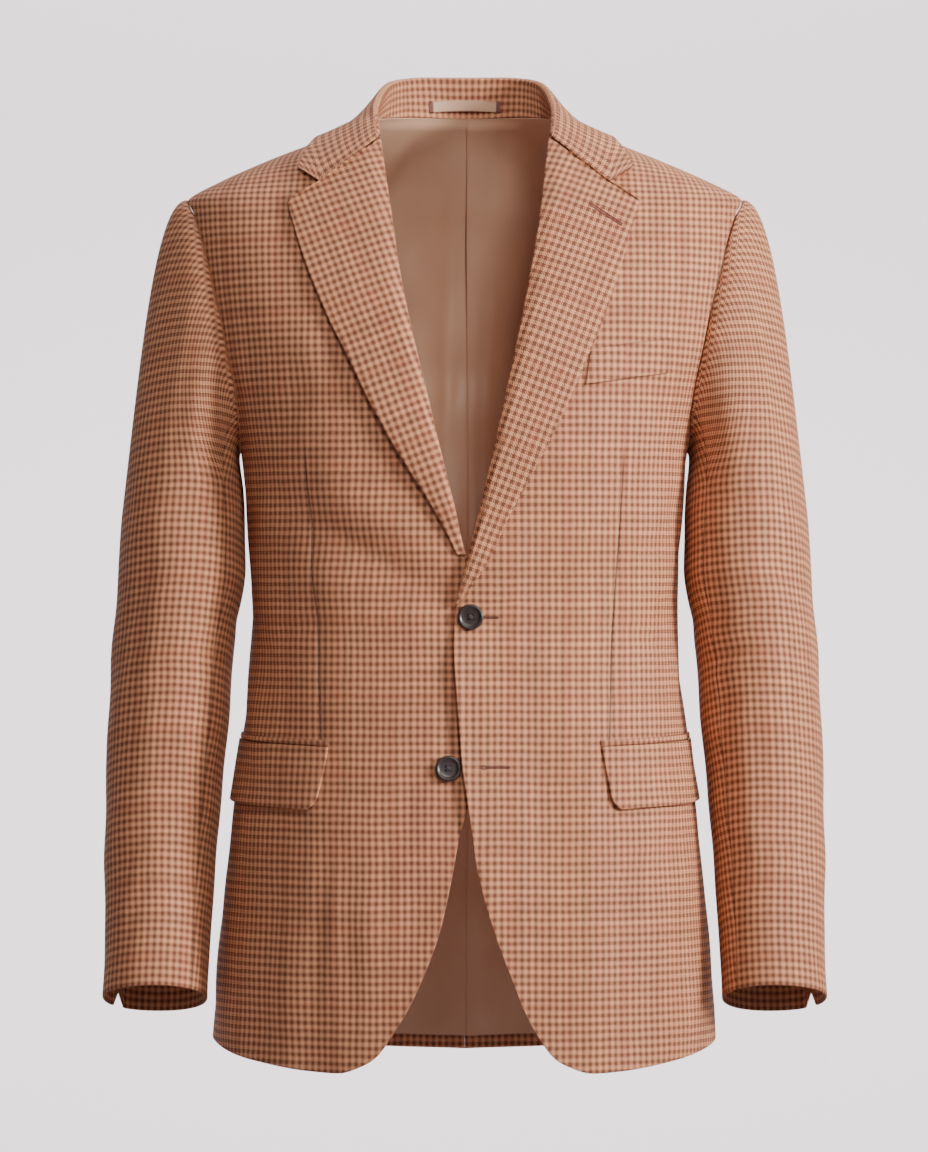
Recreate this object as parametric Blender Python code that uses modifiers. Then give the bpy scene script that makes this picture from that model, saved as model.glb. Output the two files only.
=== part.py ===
"""A tailored single-breasted linen jacket with two front buttons, notch lapels and flap pockets.

It is filled out as if worn, and hollow. +Z is up, -Y is the front and +X is the wearer's left. The
origin lies midway between the two points where the shoulder seams meet the neck. Sizes are in
millimetres, and become metres when a mesh is made. Every wall is drawn from its outer face.
"""

import math

import bmesh
import bpy
import numpy as np
from mathutils import Vector

MM = 0.001

# Driving sizes of the make, in millimetres.
SHELL_WALL = 2.0  # linen with its canvas
LINING_WALL = 1.0
TRIM_WALL = 1.2  # jetting and welt
SEAM_GAP = 0.3
TRIM_GAP = 0.5  # between a panel and what lies on it
LAPEL_GAP = 0.7
LINING_GAP = 1.0  # between the shell's inside and the lining
BUTTON_DIAMETER = 20.4
BUTTON_HEIGHT = 3.6
BUTTON_SHANK = 0.9  # the thread's length under a button
OVERLAP_LIFT = 2.7  # how far the wearer's left front stands over the right one
OVERLAP_REACH = dict(across=60.0, run=36.0, top=-300.0, fall=60.0)  # where that lift starts and is full
STAND_WALL = 1.3
LEAF_WALL = 1.5
COLLAR_GAP = 1.3  # between the collar's leaf and the panels under it
NECK_MIDDLE = 14.0  # the neck opening's middle, behind the origin
SHOULDER_SEAM = math.radians(90)
CENTRE_BACK = math.radians(180)
ANGLE_STEP, HEIGHT_STEP = 0.002, 0.4  # how far apart points lie that give the body's normal
TURN_STEP = 0.01  # the same round a sleeve


def table(columns, *rows):
    """Named columns of a short table, sorted by the first column."""
    values = np.array(sorted(rows), float)
    return dict(zip(columns.split(), values.T))


# Level sections of the body, from the hem to the base of the neck. Depths run from the middle plane
# to the centre front and centre back, and squareness is the power of the oval.
BODY = table(
    "height half_width front_depth back_depth squareness",
    (-790, 204.5, 146, 138, 2.40),
    (-735, 202.0, 144, 136, 2.40),
    (-680, 198.6, 142, 133, 2.40),
    (-620, 193.0, 139, 128, 2.40),
    (-560, 186.4, 134, 120, 2.40),
    (-500, 179.4, 128, 111, 2.42),
    (-450, 173.4, 124, 107, 2.45),
    (-405, 171.0, 122, 108, 2.50),
    (-360, 172.8, 124, 114, 2.55),
    (-300, 176.6, 128, 124, 2.60),
    (-270, 179.4, 129, 128, 2.65),
    (-235, 187.5, 127, 131, 2.70),
    (-191, 202.3, 122, 134, 2.70),
    (-150, 213.5, 112, 133, 2.70),
    (-102, 222.0, 95, 127, 2.55),
    (-80, 224.5, 86, 122, 2.30),
    (-66, 223.0, 79, 118, 2.10),
    (-52, 198.0, 72, 114, 2.00),
    (-34, 157.0, 62, 107, 2.00),
    (-16, 111.0, 50, 99, 2.00),
    (0, 77.0, 38, 90, 2.00),
    (10, 58.0, 30, 83, 2.00),
)

# The armhole seen from the side: an egg that leans forward at the foot.
ARMHOLE = dict(top=-66.0, bottom=-270.0, front_reach=63.0, back_reach=72.0, front_droop=0.15, back_rise=0.10)

# Turns round the armhole, from the shoulder seam forward and under, where its points lie. The front,
# the side panel and the back each take a stretch, and the sleeve's two seams fall on a point.
FRONT_TURNS = np.radians(np.linspace(180, 0, 13))
SIDE_TURNS = np.radians(np.linspace(180, 236, 5))
BACK_TURNS = np.radians(np.linspace(236, 360, 10))
ARMHOLE_TURNS = np.concatenate([FRONT_TURNS[::-1], SIDE_TURNS[1:], BACK_TURNS[1:]])
FOREARM_SEAM = FRONT_TURNS[3]
HINDARM_SEAM = BACK_TURNS[6]
FRONT_COLUMNS = 12
BACK_COLUMNS = 10
ROWS_BELOW = 14  # rows of points from the hem to the foot of the armhole
NECK_ROWS, NECK_COLUMNS = 3, 4  # rows of a front and columns of a back that end at the neck seam
BACK_SEAM_TURN = 60.0  # the height over which the back seam runs into the armhole

# The cloth's largest folds on the body, by degrees from the centre front (+ towards the wearer's left)
# and height. A fold leans from upright towards +X at its top, and a depth below zero is a trough.
FOLDS = table(
    "angle height lean half_length half_width depth",
    (-30.5, -356, -57, 75, 19, -2.6),
    (-26.0, -325, -52, 55, 20, 1.4),
    (-68.0, -440, -40, 38, 18, -2.2),
    (-14.8, -630, 17, 50, 17, -2.2),
    (-43.0, -722, 0, 60, 20, -3.2),
    (24.8, -531, -10, 105, 20, -2.2),
    (40.0, -372, 62, 60, 20, -1.6),
    (48.0, -700, 4, 70, 22, -2.4),
    (150.0, -405, 42, 60, 20, -2.6),
    (-152.0, -392, -38, 66, 20, -2.8),
    (163.0, -655, 0, 95, 24, 2.6),
    (-166.0, -640, 0, 90, 24, 2.4),
    (122.0, -150, -24, 55, 22, -2.4),
    (-124.0, -160, 22, 55, 22, -2.2),
)

# The same on a sleeve, by degrees round it from its outer side to the front.
LEFT_SLEEVE_FOLDS = table(
    "angle height lean half_length half_width depth",
    (108, -419, -60, 32, 14, -3.2),
    (96, -397, -58, 40, 14, 1.8),
    (122, -468, -50, 30, 14, -2.2),
    (60, -600, -35, 34, 16, -1.8),
    (262, -434, 78, 38, 15, -3.2),
)
RIGHT_SLEEVE_FOLDS = table(
    "angle height lean half_length half_width depth",
    (44, -405, 30, 36, 16, -2.4),
    (72, -300, -20, 46, 18, -2.0),
    (112, -452, 50, 32, 14, -2.4),
    (58, -610, 28, 40, 16, -1.8),
    (266, -446, -74, 38, 15, -3.0),
)

# The seam between side panel and back, as degrees round the body from the centre front.
BACK_SEAM = table(
    "height angle",
    (-790, 121.0),
    (-560, 120.0),
    (-405, 118.0),
    (-300, 112.0),
    (-215, 105.5),
)

# The hem's height round the body, by degrees from the centre front.
HEM = table(
    "angle height",
    (23.4, -737.0),
    (27.0, -748.0),
    (31.5, -755.0),
    (37.0, -759.6),
    (45.0, -758.5),
    (60.0, -752.0),
    (90.0, -740.0),
    (120.0, -748.0),
    (150.0, -757.0),
    (180.0, -760.0),
)

# Each front's free edge and roll line, as the distance of the edge past the centre line at a height.
# The left front laps over the right one.
LEFT_EDGE = table(
    "height across",
    (-737, 64.0),
    (-723, 54.0),
    (-705, 44.6),
    (-687, 37.4),
    (-652, 24.0),
    (-612, 12.4),
    (-560, 4.0),
    (-518, -2.2),
    (-459, -6.8),
    (-420, -9.0),
    (-392, -7.0),
    (-356, 2.8),
    (-309, 14.6),
    (-228, 32.8),
    (-151, 48.7),
    (-82, 60.6),
    (-20, 67.0),
)
RIGHT_EDGE = table(
    "height across",
    (-737, 64.0),
    (-723, 54.0),
    (-705, 42.5),
    (-687, 34.2),
    (-652, 20.9),
    (-612, 11.4),
    (-573, 3.8),
    (-545, -4.0),
    (-518, -10.0),
    (-459, -16.0),
    (-410, -17.0),
    (-380, -10.0),
    (-346, 1.0),
    (-309, 10.5),
    (-234, 28.8),
    (-151, 47.8),
    (-86, 59.2),
    (-20, 67.0),
)

# The lapels' outer edges, from the break upward, across from the centre line.
LEFT_LAPEL_EDGE = table(
    "height across",
    (-391, -5.6),
    (-368, 12.2),
    (-321, 35.9),
    (-262, 67.4),
    (-214, 89.5),
    (-139, 119.2),
    (-104, 129.4),
    (-71, 139.5),
)
RIGHT_LAPEL_EDGE = table(
    "height across",
    (-358, 3.6),
    (-325, 20.3),
    (-268, 55.0),
    (-224, 78.5),
    (-177, 102.3),
    (-141, 118.4),
    (-104, 132.0),
    (-70, 142.0),
)
LEFT_BREAK, RIGHT_BREAK = -391.0, -352.0

# The seam between lapel and collar seen from the front: where it leaves the roll line, its notch, and
# the two tips beside the notch.
GORGE = dict(roll=(68.2, -19.0), notch=(115.0, -55.5), lapel_tip_height=-70.5, collar_tip=(133.2, -43.5))

# A lapel's rows run up it and its columns from the roll line to its outer edge. It stands off its front by
# a roll, a belly and a lifted edge, and turns into the gorge over the last of its length.
LAPEL_LENGTHS = np.linspace(0, 1, 21)
LAPEL_WIDTHS = np.array([0.0, 0.045, 0.13, 0.28, 0.45, 0.63, 0.82, 1.0])
LAPEL = dict(roll=1.9, roll_width=0.13, roll_fall=0.6, belly=1.2, edge_lift=2.4, root=0.12)
LAPEL_GORGE = dict(starts=0.85, notch=0.63)

# The collar at stations from the centre back to the gorge: the fold line, where the leaf's edge lies on
# the body (degrees and height), and where the stand's foot lies on the neck seam.
COLLAR = table(
    "station fold_x fold_y fold_z edge_angle edge_height foot_angle",
    (0, 0.0, 88.0, 38.2, 180.0, -9.5, 180.0),
    (1, 28.0, 86.0, 38.2, 160.0, -10.0, 162.0),
    (2, 49.0, 75.5, 36.4, 139.0, -11.5, 143.0),
    (3, 61.5, 57.0, 32.2, 121.0, -13.5, 126.0),
    (4, 68.0, 36.0, 25.2, 105.5, -15.2, 110.0),
    (5, 71.8, 14.0, 16.0, 92.5, -17.2, 95.0),
    (6, 73.6, -8.0, 5.9, 82.5, -21.8, 81.0),
    (7, 73.2, -26.0, -4.7, 76.0, -31.0, 67.0),
    (8, 71.4, -43.5, -16.5, 72.0, -42.5, 57.5),
)

# The neck seam's height round the body, from the roll line to the centre back.
NECK = table(
    "angle height",
    (56.5, -20.0),
    (66.0, -11.0),
    (78.0, -4.0),
    (90.0, -1.0),
    (110.0, 1.4),
    (126.0, 3.4),
    (143.0, 4.8),
    (162.0, 5.4),
    (180.0, 5.5),
)

# The sleeve hanging beside the body: level by level, where its inner and outer sides lie, the middle and
# half depth fore and aft, and how far the section is tipped forward.
SLEEVE = table(
    "height inner outer middle half_depth tip",
    (-706, 204.6, 289.0, -50, 45.5, 17.0),
    (-650, 203.0, 288.0, -34, 47.5, 16.0),
    (-602, 200.0, 289.0, -22, 50.5, 13.0),
    (-554, 196.2, 289.0, -12, 53.5, 10.0),
    (-481, 189.6, 287.0, -7, 57.5, 5.0),
    (-408, 183.0, 282.5, -6, 61.0, 1.0),
    (-360, 175.8, 278.4, -8, 63.5, 0.0),
    (-330, 176.6, 276.2, -8, 64.5, 0.0),
    (-300, 178.6, 273.6, -6, 65.5, 0.0),
)
SLEEVE_SQUARENESS = 2.15
CAP_FOOT = -300.0
CUFF_HEIGHT = -706.0
CUFF_RADIUS = 46.0
CUFF_VENT = dict(height=12.0, half_width=7.0, fades_at=-640.0)  # the notch at the cuff's hindarm seam
SLEEVE_ROWS = [CUFF_HEIGHT, -690, -660, -620, -580, -540, -500, -465, -432, -400, -368, -334]
CAP_ROWS = [1.0, 0.80, 0.62, 0.47, 0.34, 0.22, 0.11, 0.0]

LEAF_STATIONS = [0, 0.7, 1.4, 2.0, 2.6, 3.2, 3.8, 4.4, 5.0, 5.6, 6.2, 6.8, 7.3, 7.7, 8.0]
STAND_STATIONS = LEAF_STATIONS[:12]
FOLD_PROFILE = [(3.2, -4.0), (3.0, -1.8), (2.2, -0.5), (1.0, 0.0)]  # from the fold: into the neck, and down
LEAF_WIDTHS = np.array([0.04, 0.12, 0.27, 0.45, 0.64, 0.83, 1.0])
LEAF_SAG = 4.5
LEAF_SAG_STATIONS = 4.0  # the stations over which the sag grows from none at the centre back
LEAF_END = dict(last=8.0, tuck_from=6.6, tuck=0.8, seam_from=6.2, notch=0.72)  # how the leaf meets the gorge
CLEARANCE = dict(softness=0.5, past_seam=2.0, fade=4.0)  # how a collar piece is kept off the panels

# How the cap leaves the armhole, by degrees round it from the shoulder: how far it runs before it turns
# down, how much of that is away from the armhole's middle, and how soon it reaches the sleeve's line.
CAP = table(
    "angle reach spread settle",
    (-90, 20, 0.75, 80),
    (0, 22, 0.08, 154),
    (90, 17, 0.95, 78),
    (180, 4, 0.20, 10),
    (270, 20, 0.75, 80),
)

LINING_RISE = 11.0  # from the shell's hem up to the lining's
LINING_PLEAT = dict(lap=9.0, drop=3.0, spread=0.45)
LINING_NECK = dict(drop=0.9, over=40.0)  # how far the lining stops under the neck seam

# Pocket and button places on the front, across from the centre line and by height.
FLAP = dict(front=107.5, rear_angle=88.5, front_top=-504.0, rear_top=-499.5)
FLAP_FOOT = dict(front=-553.5, rear=-548.5)
FLAP_SLANT = 9.0  # how far the flap's front edge runs back from top to foot
FLAP_CORNER = dict(cut=6.05, height=0.22)  # its rounded lower corner, the height as a share of the flap's
FLAP_WALL = 1.8
FLAP_FLARE = dict(straight=0.7, curved=1.6, rear_loss=0.5)  # how far its foot stands off the front
JET_HEIGHT = 5.0
JET_MARGIN = 0.5  # how far the jet runs past the flap's ends, and its gap above the flap
WELT = dict(
    front_foot=(95.0, -218.5),
    rear_foot=(160.0, -208.5),
    rear_top=(163.5, -180.5),
    front_top=(98.5, -190.0),
)
UPPER_BUTTON = (4.8, -401.5)
LOWER_BUTTON = (-13.0, -520.5)

# A rimmed button's section from the top at its middle, outward and back under: how far inside the button's
# edge each point lies, and its height.
BUTTON_SECTION = [
    (BUTTON_DIAMETER / 2, BUTTON_HEIGHT - 1.0),
    (3.4, BUTTON_HEIGHT - 1.0),
    (2.4, BUTTON_HEIGHT - 0.3),
    (1.4, BUTTON_HEIGHT),
    (0.5, BUTTON_HEIGHT - 0.4),
    (0.0, BUTTON_HEIGHT - 1.3),
    (0.4, BUTTON_HEIGHT - 2.3),
    (2.2, 0.4),
    (4.0, 0.0),
    (BUTTON_DIAMETER / 2, 0.0),
]
BUTTON_STEPS = 20
THREAD_HOLE = dict(radius=0.9, place=1.75, sides=8)

# The hanger loop: its half length, the length between two collar stations, its heights, and how it bows.
LOOP = dict(half_length=31.5, station=28.0, foot=10.0, top=19.0, rise=1.5, bow=2.4, wall=0.8, off=1.1)
LOOP_POINTS = 11

LINEN = (0.52, 0.27, 0.17)
SATIN = (0.36, 0.19, 0.12)
HORN = (0.020, 0.012, 0.012)


def smooth(knots, values, at):
    """A smooth curve through the knots, straight beyond its ends and free of overshoot."""
    at = np.asarray(at, float)
    run = np.diff(knots)
    rise = np.diff(values) / run
    between = (rise[:-1] * run[1:] + rise[1:] * run[:-1]) / (run[1:] + run[:-1])
    slope = np.concatenate([rise[:1], between, rise[-1:]])
    turning = rise[:-1] * rise[1:] <= 0
    slope[1:-1][turning] = 0
    held = np.clip(at, knots[0], knots[-1])
    i = np.clip(np.searchsorted(knots, held, side="right") - 1, 0, len(run) - 1)
    t = (held - knots[i]) / run[i]
    curve = values[i] + (values[i + 1] - values[i]) * t * t * (3 - 2 * t)
    curve = curve + run[i] * t * (1 - t) * (slope[i] * (1 - t) - slope[i + 1] * t)
    beyond = np.where(at < knots[0], slope[0], slope[-1]) * (at - held)
    return curve + beyond


def read(rows, column, at):
    """One column of a table at a place between its rows."""
    return smooth(next(iter(rows.values())), rows[column], at)


def unit(vectors):
    return vectors / np.linalg.norm(vectors, axis=-1, keepdims=True)


def ease(x):
    x = np.clip(x, 0, 1)
    return x * x * (3 - 2 * x)


def folded(folds, angle, height, radius):
    """How far the folds in a table raise the cloth at an angle and height, where its radius is known."""
    raised = np.zeros(np.broadcast(angle, height).shape)
    for place, level, lean, half_length, half_width, depth in zip(*folds.values()):
        turned = (angle - math.radians(place) + math.pi) % (2 * math.pi) - math.pi
        across, up = turned * radius, height - level
        tilt = math.radians(lean)
        off = (across * math.cos(tilt) - up * math.sin(tilt)) / half_width
        along = (across * math.sin(tilt) + up * math.cos(tilt)) / half_length
        raised = raised + depth * np.exp(-off * off - along * along)
    return raised


# The body's surface ------------------------------------------------------------------------------


def body_base(angle, height):
    """A point of the body's outer face, at an angle from the centre front towards +X."""
    angle, height = np.broadcast_arrays(np.asarray(angle, float), np.asarray(height, float))
    power = read(BODY, "squareness", height)
    depth = np.where(np.cos(angle) > 0, read(BODY, "front_depth", height), read(BODY, "back_depth", height))
    radius = (np.abs(np.cos(angle)) / depth) ** power
    radius = radius + (np.abs(np.sin(angle)) / read(BODY, "half_width", height)) ** power
    radius = radius ** (-1 / power)
    radius = radius + folded(FOLDS, angle, height, radius)
    return np.stack([radius * np.sin(angle), -radius * np.cos(angle), height], axis=-1)


def body_normal(angle, height):
    round_it = body_base(angle + ANGLE_STEP, height) - body_base(angle - ANGLE_STEP, height)
    up = body_base(angle, height + HEIGHT_STEP) - body_base(angle, height - HEIGHT_STEP)
    return unit(np.cross(round_it, up))


def body(angle, height, out=0.0):
    """A point at a distance out from the body's outer face."""
    angle, height = np.broadcast_arrays(np.asarray(angle, float), np.asarray(height, float))
    out = np.asarray(out, float)[..., None] * np.ones(3)
    return body_base(angle, height) + out * body_normal(angle, height)


def angle_across(across, height):
    """The angle of the front's point at this distance from the centre line."""
    power = read(BODY, "squareness", height)
    share = np.clip(np.abs(across) / read(BODY, "half_width", height), 0, 0.9999)
    ahead = read(BODY, "front_depth", height) * (1 - share**power) ** (1 / power)
    return np.arctan2(across, ahead)


def seen_at(across, height, out):
    """Angle and height whose point, at a distance out from the body, is seen at this place from the front."""
    across, height, out = np.broadcast_arrays(across, height, out)
    aimed_across, aimed_height = across.astype(float), height.astype(float)
    for _ in range(4):
        point = body(angle_across(aimed_across, aimed_height), aimed_height, out)
        aimed_across = aimed_across + across - point[..., 0]
        aimed_height = aimed_height + height - point[..., 2]
    return angle_across(aimed_across, aimed_height), aimed_height


def arc_step(angle, height, distance):
    """The angle that covers a short distance round the body."""
    return distance / np.hypot(body_base(angle, height)[..., 0], body_base(angle, height)[..., 1])


def armhole(turn):
    """Angle round the body and height of the armhole seam, at a turn from the shoulder to the front."""
    middle = (ARMHOLE["top"] + ARMHOLE["bottom"]) / 2
    height = middle + (ARMHOLE["top"] - ARMHOLE["bottom"]) / 2 * np.cos(turn)
    ahead = ARMHOLE["front_reach"] * np.sin(turn) * (1 - ARMHOLE["front_droop"] * np.cos(turn))
    behind = ARMHOLE["back_reach"] * np.sin(turn) * (1 + ARMHOLE["back_rise"] * np.cos(turn))
    forward = np.where(np.sin(turn) > 0, ahead, behind)
    power = read(BODY, "squareness", height)
    depth = np.where(forward > 0, read(BODY, "front_depth", height), read(BODY, "back_depth", height))
    share = np.clip(np.abs(forward) / depth, 0, 0.999)
    beside = read(BODY, "half_width", height) * (1 - share**power) ** (1 / power)
    return np.arctan2(beside, forward), height


# Panels ------------------------------------------------------------------------------------------


def patch(left, right, foot, top):
    """A grid of (angle, height) filling four edges: left and right run up, foot and top run across."""
    v = np.linspace(0, 1, len(left))[:, None, None]
    u = np.linspace(0, 1, len(foot))[None, :, None]
    grid = (1 - u) * left[:, None] + u * right[:, None] + (1 - v) * foot[None] + v * top[None]
    corners = (1 - u) * (1 - v) * foot[0] + u * (1 - v) * foot[-1] + (1 - u) * v * top[0] + u * v * top[-1]
    return grid - corners


def pairs(angle, height):
    angle, height = np.broadcast_arrays(angle, height)
    return np.stack([angle, height], axis=-1)


def front_grid(edge):
    """(angle, height) of a front panel, between its free edge and the side seam under the arm."""
    hem = np.linspace(HEM["angle"][0], 90, FRONT_COLUMNS + 1)
    hem_height = read(HEM, "height", hem)
    neck_foot = NECK["height"][0]
    rows_above = len(FRONT_TURNS) - 1
    below = np.linspace(hem_height[0], ARMHOLE["bottom"], ROWS_BELOW + 1)
    above = np.linspace(ARMHOLE["bottom"], neck_foot, rows_above - NECK_ROWS + 1)[1:]
    heights = np.concatenate([below, above])
    left = pairs(angle_across(read(edge, "across", heights), heights), heights)
    neck = np.linspace(NECK["angle"][0], 90, NECK_ROWS + 1)[1:]
    left = np.concatenate([left, pairs(np.radians(neck), read(NECK, "height", neck))])
    seam = np.linspace(hem_height[-1], ARMHOLE["bottom"], ROWS_BELOW + 1)
    right = np.concatenate([pairs(SHOULDER_SEAM, seam), pairs(*armhole(FRONT_TURNS[1:]))])
    top = pairs(SHOULDER_SEAM, np.linspace(left[-1, 1], ARMHOLE["top"], FRONT_COLUMNS + 1))
    foot = pairs(np.radians(hem), hem_height)
    foot[0] = left[0]
    grid = patch(left, right, foot, top)
    inset = arc_step(grid[..., 0], grid[..., 1], SEAM_GAP / 2)
    seam_rows = slice(0, ROWS_BELOW + 1)
    grid[seam_rows, -1, 0] -= inset[seam_rows, -1]
    grid[-1, :, 0] -= inset[-1]
    return grid


def back_seam(foot_rise=0.0):
    """(angle, height) up the seam between side panel and back, from the hem to the armhole."""
    arm_angle, head = armhole(BACK_TURNS[0])
    foot_angle = read(BACK_SEAM, "angle", BACK_SEAM["height"][0])
    height = np.linspace(read(HEM, "height", foot_angle) + foot_rise, head, ROWS_BELOW + 1)
    angle = np.radians(read(BACK_SEAM, "angle", height))
    angle += ease((height - head) / BACK_SEAM_TURN + 1) * (arm_angle - angle[-1])
    return pairs(angle, height)


def side_grid():
    """(angle, height) of a side panel, from the seam under the arm to the back seam."""
    front = np.linspace(read(HEM, "height", 90), ARMHOLE["bottom"], ROWS_BELOW + 1)
    back = back_seam()
    hem = np.linspace(90, math.degrees(back[0, 0]), len(SIDE_TURNS))
    foot = pairs(np.radians(hem), read(HEM, "height", hem))
    foot[-1] = back[0]
    grid = patch(pairs(SHOULDER_SEAM, front), back, foot, pairs(*armhole(SIDE_TURNS)))
    inset = arc_step(grid[..., 0], grid[..., 1], SEAM_GAP / 2)
    grid[:, 0, 0] += inset[:, 0]
    grid[:, -1, 0] -= inset[:, -1]
    return grid


def back_grid(foot_rise=0.0):
    """(angle, height) of a back panel, from the centre back to the back seam and the armhole."""
    seam = back_seam(foot_rise)
    hem = np.linspace(180, math.degrees(seam[0, 0]), BACK_COLUMNS + 1)
    foot = pairs(np.radians(hem), read(HEM, "height", hem) + foot_rise)
    foot[-1] = seam[0]
    right = np.concatenate([seam, pairs(*armhole(BACK_TURNS[1:]))])
    neck_top = read(NECK, "height", 180)
    below = np.linspace(foot[0, 1], seam[-1, 1], ROWS_BELOW + 1)
    above = np.linspace(seam[-1, 1], neck_top, len(BACK_TURNS))[1:]
    neck = np.linspace(180, 90, NECK_COLUMNS + 1)
    neck_seam = pairs(np.radians(neck), read(NECK, "height", neck))
    shoulder = np.linspace(neck_seam[-1, 1], ARMHOLE["top"], BACK_COLUMNS - NECK_COLUMNS + 1)[1:]
    top = np.concatenate([neck_seam, pairs(SHOULDER_SEAM, shoulder)])
    grid = patch(pairs(CENTRE_BACK, np.concatenate([below, above])), right, foot, top)
    inset = arc_step(grid[..., 0], grid[..., 1], SEAM_GAP / 2)
    grid[:, 0, 0] -= inset[:, 0]
    grid[: ROWS_BELOW + 1, -1, 0] += inset[: ROWS_BELOW + 1, -1]
    grid[-1, NECK_COLUMNS:, 0] += inset[-1, NECK_COLUMNS:]
    return grid


def overlap(angle, height):
    """How far the left front stands out over the right one near the centre line."""
    inward = (OVERLAP_REACH["across"] - body_base(angle, height)[..., 0]) / OVERLAP_REACH["run"]
    down = (OVERLAP_REACH["top"] - height) / OVERLAP_REACH["fall"]
    return OVERLAP_LIFT * ease(inward) * ease(down)


# Making objects ----------------------------------------------------------------------------------


def new_material(name, colour, roughness):
    material = bpy.data.materials.new(name)
    material.use_nodes = True
    shader = material.node_tree.nodes["Principled BSDF"]
    shader.inputs["Base Color"].default_value = (*colour, 1)
    shader.inputs["Roughness"].default_value = roughness
    return material


def add_object(name, mesh, material, collection):
    obj = bpy.data.objects.new(name, mesh)
    mesh.materials.append(material)
    mesh.shade_smooth()
    mesh.set_sharp_from_angle(angle=math.radians(40))
    collection.objects.link(obj)
    return obj


def wall(name, outer, inner, material, collection, side=1):
    """A closed wall between two grids of points in millimetres. side -1 mirrors it to the wearer's right."""
    rows, columns = outer.shape[:2]
    points = np.concatenate([outer.reshape(-1, 3), inner.reshape(-1, 3)]) * MM
    points[:, 0] *= side
    shape = bmesh.new()
    made = [shape.verts.new(point) for point in points]

    def point_at(layer, row, column):
        return made[(layer * rows + row) * columns + column]

    for r in range(rows - 1):
        for c in range(columns - 1):
            square = [(r, c), (r, c + 1), (r + 1, c + 1), (r + 1, c)]
            turned = square[:1] + square[:0:-1]  # starts at the same corner, so both split alike
            shape.faces.new([point_at(0, *place) for place in square])
            shape.faces.new([point_at(1, *place) for place in turned])
    border = [(0, c) for c in range(columns)] + [(r, columns - 1) for r in range(1, rows)]
    border += [(rows - 1, c) for c in range(columns - 2, -1, -1)] + [(r, 0) for r in range(rows - 2, 0, -1)]
    for here, there in zip(border, border[1:] + border[:1]):
        shape.faces.new((point_at(0, *here), point_at(1, *here), point_at(1, *there), point_at(0, *there)))
    bmesh.ops.recalc_face_normals(shape, faces=shape.faces)
    mesh = bpy.data.meshes.new(name)
    shape.to_mesh(mesh)
    shape.free()
    return add_object(name, mesh, material, collection)


def grid_normal(points):
    """Normals of a grid of points from its own neighbours."""
    return unit(np.cross(np.gradient(points, axis=0), np.gradient(points, axis=1)))


def on_body(name, grid, out, thickness, material, collection, side=1, lift=None):
    """A wall that follows the body, with its outer face at a distance out from the body's."""
    angle, height = grid[..., 0], grid[..., 1]
    raised = out + (lift(angle, height) if lift else 0.0)
    outer = body(side * angle, height, raised)
    inner = body(side * angle, height, raised - thickness)
    return wall(name, outer, inner, material, collection)


# Sleeves -----------------------------------------------------------------------------------------


def sleeve_ring(turn, height, folds):
    """A point of the sleeve's outer face, at a turn from its outer side to the front."""
    inner, outer = read(SLEEVE, "inner", height), read(SLEEVE, "outer", height)
    tip = np.radians(read(SLEEVE, "tip", height))
    power = 2 / SLEEVE_SQUARENESS
    half_width, half_depth = (outer - inner) / 2, read(SLEEVE, "half_depth", height)
    raised = 1 + folded(folds, turn, height, half_depth) / half_depth
    beside = np.sign(np.cos(turn)) * np.abs(np.cos(turn)) ** power * half_width * raised
    ahead = np.sign(np.sin(turn)) * np.abs(np.sin(turn)) ** power * half_depth * raised
    middle = read(SLEEVE, "middle", height)
    x = (inner + outer) / 2 + beside
    return np.stack([x, middle - ahead * np.cos(tip), height + ahead * np.sin(tip)], axis=-1)


def cap(turn, share, side, folds):
    """A point of the sleeve's head, from the armhole seam (share 0) to the full sleeve (share 1)."""
    degrees = np.degrees(turn)
    angle, height = armhole(turn)
    start = body_base(side * angle, height) * np.array([side, 1, 1])
    away = np.stack([np.zeros_like(turn), -np.sin(turn), np.cos(turn)], axis=-1)
    spread = read(CAP, "spread", degrees)[..., None]
    leave = unit(np.array([1.0, 0, 0]) + spread * away)
    start = start + SEAM_GAP * leave
    end = sleeve_ring(turn, np.full_like(turn, CAP_FOOT), folds)
    down = unit(sleeve_ring(turn, np.full_like(turn, CAP_FOOT - 2), folds) - end)
    first = start + read(CAP, "reach", degrees)[..., None] * leave
    second = end - read(CAP, "settle", degrees)[..., None] * down
    t = share[..., None]
    curve = start * (1 - t) ** 3 + 3 * first * t * (1 - t) ** 2
    return curve + 3 * second * t * t * (1 - t) + end * t**3


def vent(turn):
    """How far the cuff's edge is cut up beside the hindarm seam."""
    apart = np.abs((turn - HINDARM_SEAM + math.pi) % (2 * math.pi) - math.pi) * CUFF_RADIUS
    return CUFF_VENT["height"] * np.clip(1 - apart / CUFF_VENT["half_width"], 0, 1)


def sleeve_face(turns, side, folds):
    """Rows of points from the cuff up to the armhole seam."""
    rows = []
    for height in SLEEVE_ROWS:
        raised = vent(turns) * ease((CUFF_VENT["fades_at"] - height) / (CUFF_VENT["fades_at"] - CUFF_HEIGHT))
        rows.append(sleeve_ring(turns, height + raised, folds))
    for share in CAP_ROWS:
        rows.append(cap(turns, np.full_like(turns, share), side, folds))
    return np.array(rows)


def sleeve_wall(name, turns, side, material, collection):
    """One cut piece of the sleeve, between two seams."""
    folds = LEFT_SLEEVE_FOLDS if side > 0 else RIGHT_SLEEVE_FOLDS
    outer = sleeve_face(turns, side, folds)
    round_it = sleeve_face(turns + TURN_STEP, side, folds) - sleeve_face(turns - TURN_STEP, side, folds)
    normal = unit(np.cross(np.gradient(outer, axis=0), round_it))
    return wall(name, outer, outer - SHELL_WALL * normal, material, collection, side)


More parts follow.
